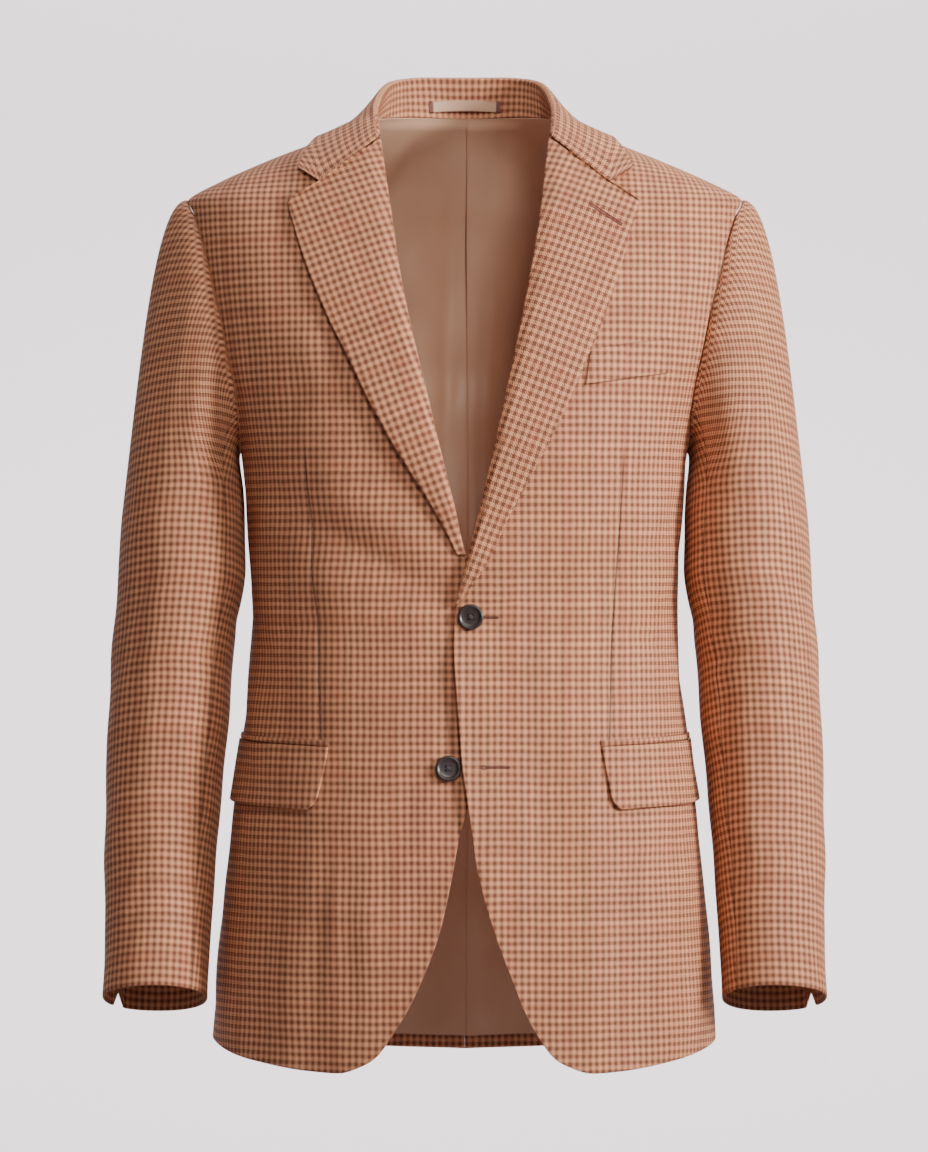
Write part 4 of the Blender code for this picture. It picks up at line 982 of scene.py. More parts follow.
def sleeve_piece(cut, hand, first, last, side, looks):
    """One cut piece of the sleeve, between two seams."""
    folds = LEFT_SLEEVE_FOLDS if side > 0 else RIGHT_SLEEVE_FOLDS
    gap = SEAM_GAP / 2 / CUFF_RADIUS
    span = (last - first) * (CUFF_RADIUS + 9)
    turns = first + gap + (last - first - 2 * gap) * spaced(span, STEP, SEAM["roll"], SEAM["roll"])
    outer = sleeve_face(turns, side, folds)
    round_it = sleeve_face(turns + TURN_STEP, side, folds) - sleeve_face(turns - TURN_STEP, side, folds)
    normal = unit(np.cross(np.gradient(outer, axis=0), round_it))
    middle = int(np.argmin(np.abs(turns - (first + last) / 2)))
    across = run_along(outer, 1)
    cloth = np.stack([across - across[:, middle : middle + 1], run_along(outer, 0)], axis=-1)
    # The seams carry shade painted along them.
    drop, rise, shade = edge_relief(outer, SEAM, SEAM, FREE, SEAM)
    turned = np.broadcast_to(run_along(outer, 0)[:-1, :-1] > CUFF_TURNED, (len(outer) - 1, len(turns) - 1))
    inner = outer - (SHELL_WALL - rise)[..., None] * normal
    outer = outer - drop[..., None] * normal
    mirror = np.array([side, 1, 1])
    cloth = cloth * np.array([side, 1])
    inside = turned.astype(int).reshape(-1)
    name, materials = f"{cut}_{hand}", [looks["linen"], looks["satin"]]
    piece = shell(name + "_cloth", outer * mirror, inner * mirror, cloth, shade, materials, inside)
    declare(piece, [name])


# Lapels and collar ---------------------------------------------------------------------------------

# The lapel's root rolls over its front's edge: how far it reaches past the edge, and how it passes from
# behind the front to its face.
LAPEL_ROOT = dict(reach=1.3, behind=-2.2)
LAPEL_GRAIN = math.radians(21)  # the cloth's lean along the lapel's outer edge


def lapel_outline(share, edge, lapel_edge, low):
    """The lapel's roll line and outer edge at a share of its length from the break to the gorge."""
    roll_height = low + (GORGE["roll"][1] - low) * share
    edge_height = low + (GORGE["lapel_tip_height"] - low) * share
    on_roll = (read(edge, "across", roll_height), roll_height)
    return on_roll, (read(lapel_edge, "across", edge_height), edge_height)


def lapel(name, edge, lapel_edge, low, side, looks, lifted):
    """A lapel folded back over its front, from behind the front's edge to its own outer edge."""
    lengths = spaced(380, 2.6, 1.0, SEAM["roll"])
    widths = spaced(80, 2.2, 1.0, FREE["roll"])
    gorge = [GORGE["roll"], GORGE["notch"], (lapel_edge["across"][-1], GORGE["lapel_tip_height"])]
    reach = [0, LAPEL_GORGE["notch"], 1]
    on_seam = np.stack([np.interp(widths, reach, values) for values in zip(*gorge)], axis=-1)
    on_seam[:, 1] -= GORGE_GAP
    rows = []
    for share in lengths:
        roll, outer_edge = np.array(lapel_outline(share, edge, lapel_edge, low))
        row = roll + (outer_edge - roll) * widths[:, None]
        bend = ease((share - LAPEL_GORGE["starts"]) / (1 - LAPEL_GORGE["starts"]))
        rows.append(row + bend * (on_seam - row))
    grid = np.array(rows)
    length, width = lengths[:, None], widths[None, :]
    off = LAPEL["roll"] * ease(width / LAPEL["roll_width"]) * (1 - LAPEL["roll_fall"] * width)
    off = off + LAPEL["belly"] * np.sin(math.pi * width**0.7)
    off = off + LAPEL["edge_lift"] * ease(width) * np.sin(math.pi * length**0.8) ** 2
    grown = ease(length / LAPEL["root"])
    out = SHELL_WALL + LAPEL_GAP + off * grown
    round_it = np.linspace(math.pi, 0, 8)[None, :-1]
    past_edge = LAPEL_ROOT["reach"] * np.sin(round_it) * grown
    root = grid[:, :1] - np.stack([past_edge, np.zeros_like(past_edge)], axis=-1)
    middle = (out[:, :1] + LAPEL_ROOT["behind"]) / 2
    root_out = middle + (out[:, :1] - middle) * np.cos(round_it)
    grid = np.concatenate([root, grid], axis=1)
    out = np.concatenate([root_out, out], axis=1)
    out = out + (overlap(angle_across(grid[..., 0], grid[..., 1]), grid[..., 1]) if lifted else 0.0)
    angle, height = seen_at(grid[..., 0], grid[..., 1], out)
    face = body(side * angle, height, out)
    # The pressed gorge edge carries faint painted shade.
    drop, rise, shade = edge_relief(face, PLAIN, FREE, PLAIN, PRESSED)
    normal = surface_normal(face)
    normal = normal * np.sign(np.sum(normal * body_normal(side * angle, height), axis=(0, 1, 2)))
    outer = face - drop[..., None] * normal
    inner = face - (SHELL_WALL * 0.8 - rise)[..., None] * normal
    flat = cloth_at(angle, height)
    along, aside = math.cos(LAPEL_GRAIN), math.sin(LAPEL_GRAIN)
    lean = np.array([[along, -aside], [aside, along]])
    tip = np.array(cloth_at(angle[-1:, -1:], height[-1:, -1:]))
    cloth = (flat - tip) @ lean.T * np.array([side, 1])
    piece = shell(name + "_cloth", outer, inner, cloth, shade, [looks["linen"]])
    declare(piece, [name])
    return piece


def collar_station(station):
    """Fold line, leaf edge on the body and the stand's foot at one place along the collar's half."""
    fold = np.array([read(COLLAR, "fold_" + axis, station) for axis in "xyz"])
    edge = (math.radians(read(COLLAR, "edge_angle", station)), read(COLLAR, "edge_height", station))
    foot_angle = read(COLLAR, "foot_angle", station)
    return fold, edge, (math.radians(foot_angle), read(NECK, "height", foot_angle))


def neckward(fold):
    """The level direction from the fold towards the middle of the neck."""
    return unit(np.array([-fold[0], NECK_MIDDLE - fold[1], 0.0]))


def clear_of_body(points, clearance):
    """Moves points out along the body's normal where they come too near a panel."""
    angle, level = np.arctan2(points[..., 0], -points[..., 1]), np.minimum(points[..., 2], BODY["height"][-1])
    normal = body_normal(angle, level)
    apart = np.sum((points - body_base(angle, level)) * normal, axis=-1)
    seam = read(NECK, "height", np.degrees(np.abs(angle)))
    below_seam = seam + CLEARANCE["past_seam"] - (points[..., 2] - apart * normal[..., 2])
    over_panel = ease(below_seam / CLEARANCE["fade"])
    push = CLEARANCE["softness"] * np.logaddexp(0, (clearance - apart) / CLEARANCE["softness"])
    return points + (over_panel * push)[..., None] * normal


def stand_column(station):
    """Foot and top of the stand's inner face at one place, and the way out from the neck."""
    fold, _, (foot_angle, foot_height) = collar_station(station)
    seam = body(foot_angle, foot_height)
    up = unit(body(foot_angle, foot_height + 1.0) - seam)
    inward = neckward(fold)
    into, down = FOLD_PROFILE[0]
    top = fold + inward * into + np.array([0, 0, down])
    return seam + SEAM_GAP * up + inward * STAND_WALL, top, -inward


def collar_row(station, stand_shares, leaf_widths):
    """The collar's face at one place: up the stand, over the fold and down the leaf."""
    fold, (edge_angle, edge_height), _ = collar_station(station)
    inward = neckward(fold)
    near_end = ease((station - LEAF_END["tuck_from"]) / (LEAF_END["last"] - LEAF_END["tuck_from"]))
    tuck = 1 - LEAF_END["tuck"] * near_end
    turned = [fold + tuck * (inward * into + np.array([0, 0, down])) for into, down in FOLD_PROFILE]
    foot, _, _ = stand_column(station)
    foot = foot + LEAF_END["stand_taper"] * near_end * (turned[0] - foot)
    stand = [foot + (turned[0] - foot) * share for share in stand_shares]
    edge = body(edge_angle, edge_height, LEAF_WALL + COLLAR_GAP)
    sag = LEAF_SAG * ease(station / LEAF_SAG_STATIONS)
    leaf = np.array([fold + (edge - fold) * w - np.array([0, 0, sag * math.sin(math.pi * w)]) for w in leaf_widths])
    at_seam = ease((station - LEAF_END["seam_from"]) / (LEAF_END["last"] - LEAF_END["seam_from"]))
    if at_seam > 0:
        reach = [0, LEAF_END["notch"], 1]
        along = np.interp(leaf_widths, reach, [fold[0], GORGE["notch"][0], GORGE["collar_tip"][0]])
        heights = [GORGE["roll"][1], GORGE["notch"][1], GORGE["collar_tip"][1]]
        level = np.interp(leaf_widths, reach, heights)
        off = LEAF_WALL + COLLAR_GAP
        seam = body(*seen_at(along, level + GORGE_GAP, off), off)
        leaf = leaf + at_seam * (seam - leaf)
    leaf = clear_of_body(leaf, LEAF_WALL + COLLAR_GAP)
    return np.concatenate([np.array(stand), np.array(turned), leaf])


def both_sides(half):
    """A whole band from its half: from the wearer's right round the back to the left."""
    mirrored = half[::-1] * np.array([-1, 1, 1])
    return np.concatenate([mirrored[:-1], half])


def collar(looks):
    """The collar in one piece: the stand's inner face, the fold and the leaf."""
    stations = LEAF_END["last"] * spaced(230, 2.2, 0.5, FREE["roll"])[4:]
    stations = np.concatenate([[0.0], stations])
    stand_shares = spaced(22, 2.4, SEAM["roll"], 1.0)[:-5]
    leaf_widths = spaced(46, 2.2, 0.9, FREE["roll"])[1:]
    half = np.array([collar_row(station, stand_shares, leaf_widths) for station in stations])
    face = both_sides(half)
    # The neck seam and the pressed gorge ends carry painted shade.
    drop, rise, shade = edge_relief(face, SEAM, FREE, PRESSED, PRESSED)
    normal = -surface_normal(face)
    outer = face - drop[..., None] * normal
    inner = face - (LEAF_WALL - rise * 0.8)[..., None] * normal
    fold_column = len(stand_shares) + len(FOLD_PROFILE)
    across, along = run_along(face, 1), run_along(face[:, fold_column : fold_column + 1], 0)
    middle = len(face) // 2
    along = np.broadcast_to(along - along[middle], across.shape)
    cloth = np.stack([along, across - across[:, fold_column : fold_column + 1]], axis=-1)
    piece = shell("collar_cloth", outer, inner, cloth, shade, [looks["linen"]])
    declare(piece, ["collar_leaf", "collar_stand"])


# Pockets, loop and lining --------------------------------------------------------------------------


def pocket_flap(name, side, looks):
    """A pocket flap with a rounded front corner, flared off the front towards its foot."""
    down = spaced(54, 1.8, FREE["roll"], 1.0)[::-1][:, None]
    back_share = spaced(100, 2.0, FREE["roll"], FREE["roll"])[None, :]
    top = FLAP["front_top"] + (FLAP["rear_top"] - FLAP["front_top"]) * back_share
    foot = FLAP_FOOT["front"] + (FLAP_FOOT["rear"] - FLAP_FOOT["front"]) * back_share
    height = top + (foot - top) * down
    in_corner = np.clip(1 - (1 - down) / FLAP_CORNER["height"], 0, 1)
    front_across = FLAP["front"] + FLAP_SLANT * down + FLAP_CORNER["cut"] * in_corner**2
    first = angle_across(front_across, height[:, :1])
    angle = first + (math.radians(FLAP["rear_angle"]) - first) * back_share
    curved = FLAP_FLARE["curved"] * down**2 * (1 - FLAP_FLARE["rear_loss"] * back_share)
    out = FLAP_WALL + TRIM_GAP + SEAM_GAP / 2 + FLAP_FLARE["straight"] * down + curved
    drop, rise, shade = edge_relief(body(side * angle, height), FREE, FREE, FREE, PLAIN)
    outer = body(side * angle, height, out - drop)
    inner = body(side * angle, height, out - FLAP_WALL + rise * 0.7)
    cloth = cloth_at(side * angle, height)
    piece = shell(name + "_cloth", outer, inner, cloth, shade, [looks["linen"]])
    declare(piece, [name])


def strip(name, corners, side, looks, edges):
    """A four-cornered piece laid on the body, its corners given as (angle, height) from its front foot."""
    front_foot, rear_foot, rear_top, front_top = [np.array(corner) for corner in corners]
    long = float(np.linalg.norm(body(*front_foot) - body(*rear_foot)))
    tall = float(np.linalg.norm(body(*front_foot) - body(*front_top)))
    u = spaced(long, 2.0, 1.0, 1.0)[None, :, None]
    v = spaced(tall, 1.2, 1.0, 1.0)[:, None, None]
    foot = front_foot + (rear_foot - front_foot) * u
    top = front_top + (rear_top - front_top) * u
    places = foot + (top - foot) * v
    angle, height = side * places[..., 0], places[..., 1]
    drop, rise, shade = edge_relief(body(angle, height), **edges)
    outer = body(angle, height, TRIM_WALL + TRIM_GAP - drop)
    inner = body(angle, height, TRIM_GAP + rise * 0.3)
    cloth = cloth_at(angle, height)
    piece = shell(name + "_cloth", outer, inner, cloth, shade, [looks["linen"]])
    declare(piece, [name])


def jet(name, side, looks):
    """The bound edge above a flap, plump as a rolled strip is, with shade painted along its lips."""
    front = float(angle_across(FLAP["front"] - JET_MARGIN, FLAP["front_top"]))
    rear = math.radians(FLAP["rear_angle"] + JET_MARGIN)
    front_foot = (front, FLAP["front_top"] + JET_MARGIN)
    rear_foot = (rear, FLAP["rear_top"] + JET_MARGIN)
    corners = [front_foot, rear_foot, (rear, rear_foot[1] + JET_HEIGHT), (front, front_foot[1] + JET_HEIGHT)]
    # Its shade is painted shade along the jet's lips, where the fold under them would be in shadow.
    plump = dict(drop=0.7, rise=0.0, roll=2.2, shade=0.7)
    edges = dict(left=SEAM, right=SEAM, foot=plump, top=plump)
    strip(name, corners, side, looks, edges)


def chest_welt(looks):
    corners = [(float(angle_across(x, z)), z) for x, z in WELT.values()]
    # Its shade is painted shade along the welt's edges, where their hollows would be in shadow.
    crisp = dict(drop=0.6, rise=0.0, roll=1.0, shade=0.6)
    edges = dict(left=crisp, right=crisp, foot=crisp, top=crisp)
    strip("chest_welt", corners, 1, looks, edges)


def hanger_loop(looks):
    """The tape across the inside of the collar, bowed off it between its sewn ends."""
    levels = LOOP["foot"] + (LOOP["top"] - LOOP["foot"]) * spaced(9, 1.3, 0.8, 0.8)
    rows = []
    for level in levels:
        row = []
        for place in np.linspace(-1, 1, 41):
            foot, top, away = stand_column(abs(place) * LOOP["half_length"] / LOOP["station"])
            share = (level + LOOP["rise"] * (1 - place**2) - foot[2]) / (top[2] - foot[2])
            point = foot + (top - foot) * share - away * (LOOP["off"] + LOOP["bow"] * (1 - place**2))
            row.append(point * np.array([np.sign(place) or 1, 1, 1]))
        rows.append(row)
    face = np.array(rows)
    # Its shade is painted shade along the tape's edges, where the shadow under them would fall.
    soft_edge = dict(drop=0.3, rise=0.2, roll=0.8, shade=0.3)
    drop, rise, shade = edge_relief(face, soft_edge, soft_edge, soft_edge, soft_edge)
    back_off = np.array([0, -1.0, 0])
    cloth = np.stack([run_along(face, 1), run_along(face, 0)], axis=-1)
    outer = face + (LOOP["wall"] - drop)[..., None] * back_off
    piece = shell("hanger_loop_tape", outer, face + rise[..., None] * back_off, cloth, shade, [looks["satin"]])
    declare(piece, ["hanger_loop"])


# Soft folds of the lining, by millimetres from the centre back (+ towards the wearer's left) and height.
LINING_FOLDS = table(
    "across height lean half_length half_width depth",
    (-14, -190, 2, 150, 8, -3.7),
    (-36, -150, -5, 120, 12, 2.4),
    (-62, -95, -20, 60, 14, -4.1),
    (-70, -40, 30, 30, 9, -3.4),
    (20, -170, 3, 150, 8, 2.4),
    (44, -140, 8, 130, 12, -3.4),
    (66, -90, 22, 60, 14, -3.7),
    (72, -40, -30, 30, 9, -3.4),
    (-20, -640, 4, 130, 10, 2.4),
    (12, -650, -3, 140, 9, -3.4),
    (-48, -655, 7, 120, 12, -3.1),
    (40, -660, -8, 120, 12, 2.4),
    (62, -640, -8, 120, 10, -3.1),
    (8, -420, 0, 130, 10, -2.4),
    (-24, -430, 3, 130, 12, 2.0),
)
# The pleat: how far its two halves reach past the centre back, and how its folded edge stands off.
# The fine columns are the ones near the centre back, and dark is the folded edge's shadow, painted on the half
# beneath it.
PLEAT = dict(edge=-1.6, under=9.0, rise=1.6, width=16.0, fine_step=0.8, dark=0.8, dark_width=1.7)
PLEAT_GAPE = dict(rise=3.4, height=-105.0, length=55.0)  # where the folded edge stands off most
LINING_INSET = 1.6  # how far inside its solid's face the lining's soft folds swing


def lining(name, side, looks, past_centre, folded_edge):
    """Half of the back's lining, hung inside the shell. One half laps past the centre as a pleat, and the folded
    edge's shadow is painted on the other.
    """
    base = back_grid(LINING_RISE)
    length, width = GRID["lining"]
    rows = spaced(length, STEP, 1.0, 1.0)
    fine = np.arange(2 * PLEAT["fine_step"], PLEAT["width"], PLEAT["fine_step"])
    fine = np.concatenate([NEAR_EDGE[:-1] * fine[0], fine]) / width
    columns = np.concatenate([fine, np.linspace(PLEAT["width"] / width, 1, 67)])
    places = over_shares(base, rows, columns)
    angle, height = places[..., 0].copy(), places[..., 1].copy()
    near_centre = np.clip(1 - (CENTRE_BACK - angle) / LINING_SPREAD, 0, 1)
    angle += near_centre * arc_step(angle, height, past_centre)
    height += LINING_NECK["rise"] * ease(height / LINING_NECK["over"] + 1)
    cloth = cloth_at(np.minimum(angle, 2 * CENTRE_BACK - angle), height, from_back=True)
    across = side * np.where(angle > CENTRE_BACK, -cloth[..., 0], cloth[..., 0])
    cloth = np.stack([across, cloth[..., 1]], axis=-1)
    radius = 100.0
    folds = dict(LINING_FOLDS, across=np.degrees(LINING_FOLDS["across"] / radius))
    soft = folded(folds, across / radius, height, radius)
    soft = soft * ease(-height / 24) * ease((height - height[0]) / 24)
    at_top = ease((height - height[-1]) / LINING_NECK["length"] + 1)
    out = -(SHELL_WALL + LINING_GAP) - LINING_INSET + np.minimum(soft, 2.0) + LINING_NECK["turn"] * at_top
    gape = np.exp(-(((height - PLEAT_GAPE["height"]) / PLEAT_GAPE["length"]) ** 2))
    # The folded edge's shadow is painted as shade on the half beneath it, widest where the edge gapes.
    under_fold = (-PLEAT["edge"] - across) / (PLEAT["dark_width"] * (1 + 2 * gape))
    shade = PLEAT["dark"] * np.exp(-(under_fold**2)) * (1 - at_top)
    if folded_edge:
        shade = np.zeros_like(shade)
        from_edge = columns[None, :] * width
        stands = PLEAT["rise"] + PLEAT_GAPE["rise"] * gape
        out = out - stands * np.exp(-((from_edge / PLEAT["width"]) ** 2)) * (1 - at_top * 0.6)
        out = out + 1.0 * rolled(from_edge, 2.0)
    outer = body(side * angle, height, out)
    inner = body(side * angle, height, out - LINING_WALL * 0.8)
    piece = shell(name + "_cloth", outer, inner, cloth, shade, [looks["satin"]])
    declare(piece, [name])


# Buttons and stitches ------------------------------------------------------------------------------

# A rimmed button's section from the top at its middle, outward and back under: how far inside the button's
# edge each point lies, and its height.
BUTTON_SECTION = [
    (BUTTON_DIAMETER / 2, BUTTON_HEIGHT - 1.2),
    (6.0, BUTTON_HEIGHT - 1.18),
    (3.5, BUTTON_HEIGHT - 1.05),
    (2.9, BUTTON_HEIGHT - 0.85),
    (2.4, BUTTON_HEIGHT - 0.35),
    (1.9, BUTTON_HEIGHT - 0.06),
    (1.4, BUTTON_HEIGHT),
    (0.9, BUTTON_HEIGHT - 0.1),
    (0.4, BUTTON_HEIGHT - 0.42),
    (0.1, BUTTON_HEIGHT - 0.85),
    (0.0, BUTTON_HEIGHT - 1.4),
    (0.2, BUTTON_HEIGHT - 1.95),
    (0.8, BUTTON_HEIGHT - 2.5),
    (2.2, 0.4),
    (4.0, 0.0),
    (BUTTON_DIAMETER / 2, 0.0),
]
BUTTON_STEPS = 72
THREAD_HOLE = dict(radius=0.85, place=1.65, sides=20)
THREAD = dict(radius=0.42, tie_height=0.55)


def place_of(across, height, lift):
    """Where a small piece lies on the front, and its turn from +Z to the front's normal with +Y up."""
    angle = float(angle_across(across, height))
    normal = Vector(body_normal(angle, height))
    up = Vector((0, 0, 1))
    right = up.cross(normal).normalized()
    up = normal.cross(right)
    turn = np.array([right, up, normal]).T
    return body(angle, height, lift), turn


def button(name, spot, lift, looks):
    """A turned button of horn-like resin with four thread holes."""
    shape = bmesh.new()
    profile = [shape.verts.new(((BUTTON_DIAMETER / 2 - inset), 0, high)) for inset, high in BUTTON_SECTION]
    edges = [shape.edges.new(pair) for pair in zip(profile, profile[1:])]
    whole_turn = dict(cent=(0, 0, 0), axis=(0, 0, 1), angle=2 * math.pi, steps=BUTTON_STEPS, use_merge=True)
    bmesh.ops.spin(shape, geom=profile + edges, **whole_turn)
    bmesh.ops.remove_doubles(shape, verts=shape.verts, dist=0.01)
    bmesh.ops.recalc_face_normals(shape, faces=shape.faces)
    mesh = bpy.data.meshes.new(name + "_turned")
    shape.to_mesh(mesh)
    shape.free()
    blank = placed(name + "_blank", mesh)
    cutters = bmesh.new()
    rod = dict(radius1=THREAD_HOLE["radius"], radius2=THREAD_HOLE["radius"], depth=3 * BUTTON_HEIGHT)
    for right, up in ((-1, -1), (1, -1), (1, 1), (-1, 1)):
        made = bmesh.ops.create_cone(cutters, cap_ends=True, segments=THREAD_HOLE["sides"], **rod)
        shift = (right * THREAD_HOLE["place"], up * THREAD_HOLE["place"], BUTTON_HEIGHT / 2)
        bmesh.ops.translate(cutters, verts=made["verts"], vec=shift)
    cut_mesh = bpy.data.meshes.new(name + "_holes")
    cutters.to_mesh(cut_mesh)
    cutters.free()
    cutter = placed(name + "_cutter", cut_mesh)
    cut = blank.modifiers.new("holes", "BOOLEAN")
    cut.object = cutter
    cut.operation = "DIFFERENCE"
    drilled = bpy.data.meshes.new_from_object(blank.evaluated_get(bpy.context.evaluated_depsgraph_get()))
    bpy.data.objects.remove(cutter)
    bpy.data.objects.remove(blank)
    centre, turn = place_of(*spot, lift)
    points = np.zeros(len(drilled.vertices) * 3)
    drilled.vertices.foreach_get("co", points)
    own = points.reshape(-1, 3)
    write_cloth_layer(drilled, own)
    drilled.vertices.foreach_set("co", ((own @ turn.T + centre) * MM).ravel())
    drilled.shade_smooth()
    drilled.set_sharp_from_angle(angle=math.radians(38))
    drilled.materials.clear()
    drilled.materials.append(looks["horn"])
    declare(placed(name + "_horn", drilled), [name])
    tie(name + "_thread", centre, turn, looks)


def cord_points(points, radius, sides=8):
    """A round thread's rings along points, closed at both ends by narrowing."""
    points = np.asarray(points, float)
    along = unit(np.gradient(points, axis=0))
    helper = np.array([0.3, 0.2, 1.0]) if abs(along[0][2]) < 0.9 else np.array([1.0, 0.2, 0.3])
    first = unit(np.cross(along, helper))
    second = np.cross(along, first)
    turns = np.linspace(0, 2 * math.pi, sides, endpoint=False)
    ends = np.minimum(np.arange(len(points)), np.arange(len(points))[::-1])
    narrow = np.where(ends == 0, 0.35, 1.0) * radius
    ring = np.cos(turns)[None, :, None] * first[:, None] + np.sin(turns)[None, :, None] * second[:, None]
    return points[:, None] + narrow[:, None, None] * ring


def threads(name, rings, material):
    """One mesh of many threads, each a run of rings."""
    points, faces, total = [], [], 0
    for ring in rings:
        count, sides = ring.shape[:2]
        index = np.arange(count * sides).reshape(count, sides) + total
        nexts = np.roll(index, -1, axis=1)
        faces += np.stack([index[:-1], nexts[:-1], nexts[1:], index[1:]], axis=-1).reshape(-1, 4).tolist()
        faces += [index[0][::-1].tolist(), index[-1].tolist()]
        points.append(ring.reshape(-1, 3))
        total += count * sides
    points = np.concatenate(points)
    mesh = bpy.data.meshes.new(name)
    mesh.from_pydata((points * MM).tolist(), [], faces)
    mesh.polygons.foreach_set("use_smooth", np.ones(len(faces), bool))
    mesh.materials.append(material)
    write_cloth_layer(mesh, points)
    declare(placed(name, mesh), [])


def tie(name, centre, turn, looks):
    """The crossed sewing thread on a button's face, and its shank down to the cloth."""
    rings = []
    at = THREAD_HOLE["place"]
    seat = BUTTON_HEIGHT - 1.2
    for direction in ((1, 1), (1, -1)):
        for shift in (-0.28, 0.28):
            path = []
            for t in np.linspace(-1, 1, 11):
                x = direction[0] * at * t - direction[1] * shift
                y = direction[1] * at * t + direction[0] * shift
                high = seat + THREAD["tie_height"] * (1 - t * t) ** 0.5 - (0.5 if abs(t) > 0.99 else 0.0)
                path.append(centre + turn @ np.array([x, y, high]))
            rings.append(cord_points(path, THREAD["radius"]))
    shank = [centre + turn @ np.array([0, 0, z]) for z in (1.0, 0.0, -1.4)]
    rings.append(cord_points(shank, 1.6, 12))
    threads(name, rings, looks["button_thread"])


def cloth_finder(piece):
    """A function that gives the point and normal of a piece's face seen from the front at (x, z)."""
    mesh = piece.data
    tree = BVHTree.FromPolygons([v.co for v in mesh.vertices], [p.vertices for p in mesh.polygons])

    def find(across, height):
        spot, normal, _, _ = tree.ray_cast(Vector((across * MM, -1.0, height * MM)), Vector((0, 1, 0)))
        return np.array(spot) / MM, np.array(normal)

    return find


STITCH = dict(radius=0.34, hump=0.4, spacing=0.62, sides=6)


def stitched_slit(name, piece, start, end, bite, gap, eye, looks, thread):
    """A worked slit seen from the front: stitches side by side round it, and a round eye at its start."""
    find = cloth_finder(piece)
    start, end = np.array(start, float), np.array(end, float)
    length = float(np.linalg.norm(end - start))
    forward = (end - start) / length
    sideways = np.array([-forward[1], forward[0]])
    rings = []

    def stitch(x, y, away_x, away_y):
        """One bar from the slit's lip outward, humped over the cloth."""
        path = []
        for t in np.linspace(0, 1, 6):
            flat = start + forward * (x + away_x * bite * t) + sideways * (y + away_y * bite * t)
            spot, normal = find(*flat)
            path.append(spot + normal * STITCH["hump"] * math.sin(math.pi * min(t + 0.15, 1.0)))
        rings.append(cord_points(path, STITCH["radius"], STITCH["sides"]))

    count = round((length - eye) / STITCH["spacing"])
    for i in range(count + 1):
        x = eye + (length - eye) * i / count
        stitch(x, gap, 0.0, 1.0)
        stitch(x, -gap, 0.0, -1.0)
    for i in range(7):
        turn = math.pi * (i / 6 - 0.5)
        stitch(length + gap * math.cos(turn), gap * math.sin(turn), math.cos(turn), math.sin(turn))
    if eye:
        around = round(2 * math.pi * (eye * 0.6) / STITCH["spacing"])
        for i in range(around):
            turn = 2 * math.pi * i / around
            middle, reach = eye * 0.45, eye * 0.38
            stitch(middle + reach * math.cos(turn), reach * math.sin(turn), math.cos(turn), math.sin(turn))
    threads(name, rings, looks[thread])


def bar_tacks(looks):
    """The stitched bars that hold the hanger loop's two ends."""
    rings = []
    for end in (-1, 1):
        for i in range(7):
            place = end * (0.93 + 0.03 * i / 1.6)
            foot, top, away = stand_column(abs(place) * LOOP["half_length"] / LOOP["station"])
            path = []
            for level in np.linspace(LOOP["foot"] - 0.8, LOOP["top"] + 0.8, 7):
                share = (level - foot[2]) / (top[2] - foot[2])
                point = foot + (top - foot) * share - away * (LOOP["off"] + LOOP["wall"] + 0.2)
                path.append(point * np.array([end, 1, 1]))
            rings.append(cord_points(path, 0.4, 6))
    threads("hanger_loop_tacks", rings, looks["hole_thread"])


# Materials -----------------------------------------------------------------------------------------

CLOTH_LAYER = "cloth_mm"

CHECK = dict(across=5.45, up=6.29)  # millimetres from one check to the next
CHECK_THREADS = 12
OVERCHECK = dict(across=46.7, up=61.0)  # millimetres from one rust line to the next
OVERCHECK_START = dict(across=36.7 - 2.7, up=-525.5 - 3.0)  # where one of them starts
OVERCHECK_WIDTH = dict(across=5.0, up=5.6)


def linear(code):
    """A colour given as sRGB hex, in linear light."""
    values = [int(code[i : i + 2], 16) / 255 for i in (0, 2, 4)]
    return (*[v / 12.92 if v <= 0.04045 else ((v + 0.055) / 1.055) ** 2.4 for v in values], 1.0)


def add(tree, kind, settings=None, **links):
    """Adds a node with its settings, and sets or links its inputs by name or number."""
    node = tree.nodes.new(kind)
    for key, value in (settings or {}).items():
        setattr(node, key, value)
    for key, value in links.items():
        socket = node.inputs[int(key[2:]) if key.startswith("in") and key[2:].isdigit() else key.replace("_", " ")]
        if isinstance(value, bpy.types.NodeSocket):
            tree.links.new(value, socket)
        else:
            socket.default_value = value
    return node


def blank_material(name, **values):
    """A new material, its nodes and its shader, with constant values set on the shader's own sockets."""
    material = bpy.data.materials.new(name)
    material.use_nodes = True
    tree = material.node_tree
    shader = tree.nodes["Principled BSDF"]
    for socket, value in values.items():
        shader.inputs[socket.replace("_", " ")].default_value = value
    return material, tree, shader


def cloth_coordinates(tree):
    """Millimetres across and up the cloth, and the shade painted on it, from the mesh's own layer."""
    layer = add(tree, "ShaderNodeAttribute", {"attribute_name": CLOTH_LAYER})
    split = add(tree, "ShaderNodeSeparateXYZ", Vector=layer.outputs["Vector"])
    return layer.outputs["Vector"], split.outputs


LIGHT_YARN = ("dc9166", "eca97e")
DARK_YARN = ("74402a", "8a5038")
RUST_YARN = "b4563c"
RUST_SHARE = 0.32
TONE_SWING = 0.4  # how much darker the darkest bands of yarn are
SATIN_TONES = ("d0a080", "deb394")
HORN_TONES = ("1d1618", "5a4038")

# Noise drawn out along the threads: slubs, and broad bands of darker yarn, by scale across, up and out.
YARN_NOISE = dict(
    slub_warp=((0.9, 0.02, 1.0), 2.0),
    slub_weft=((0.02, 0.8, 1.0), 2.0),
    bands_warp=((0.11, 0.006, 1.0), 1.0),
    bands_weft=((0.006, 0.10, 1.0), 1.0),
)

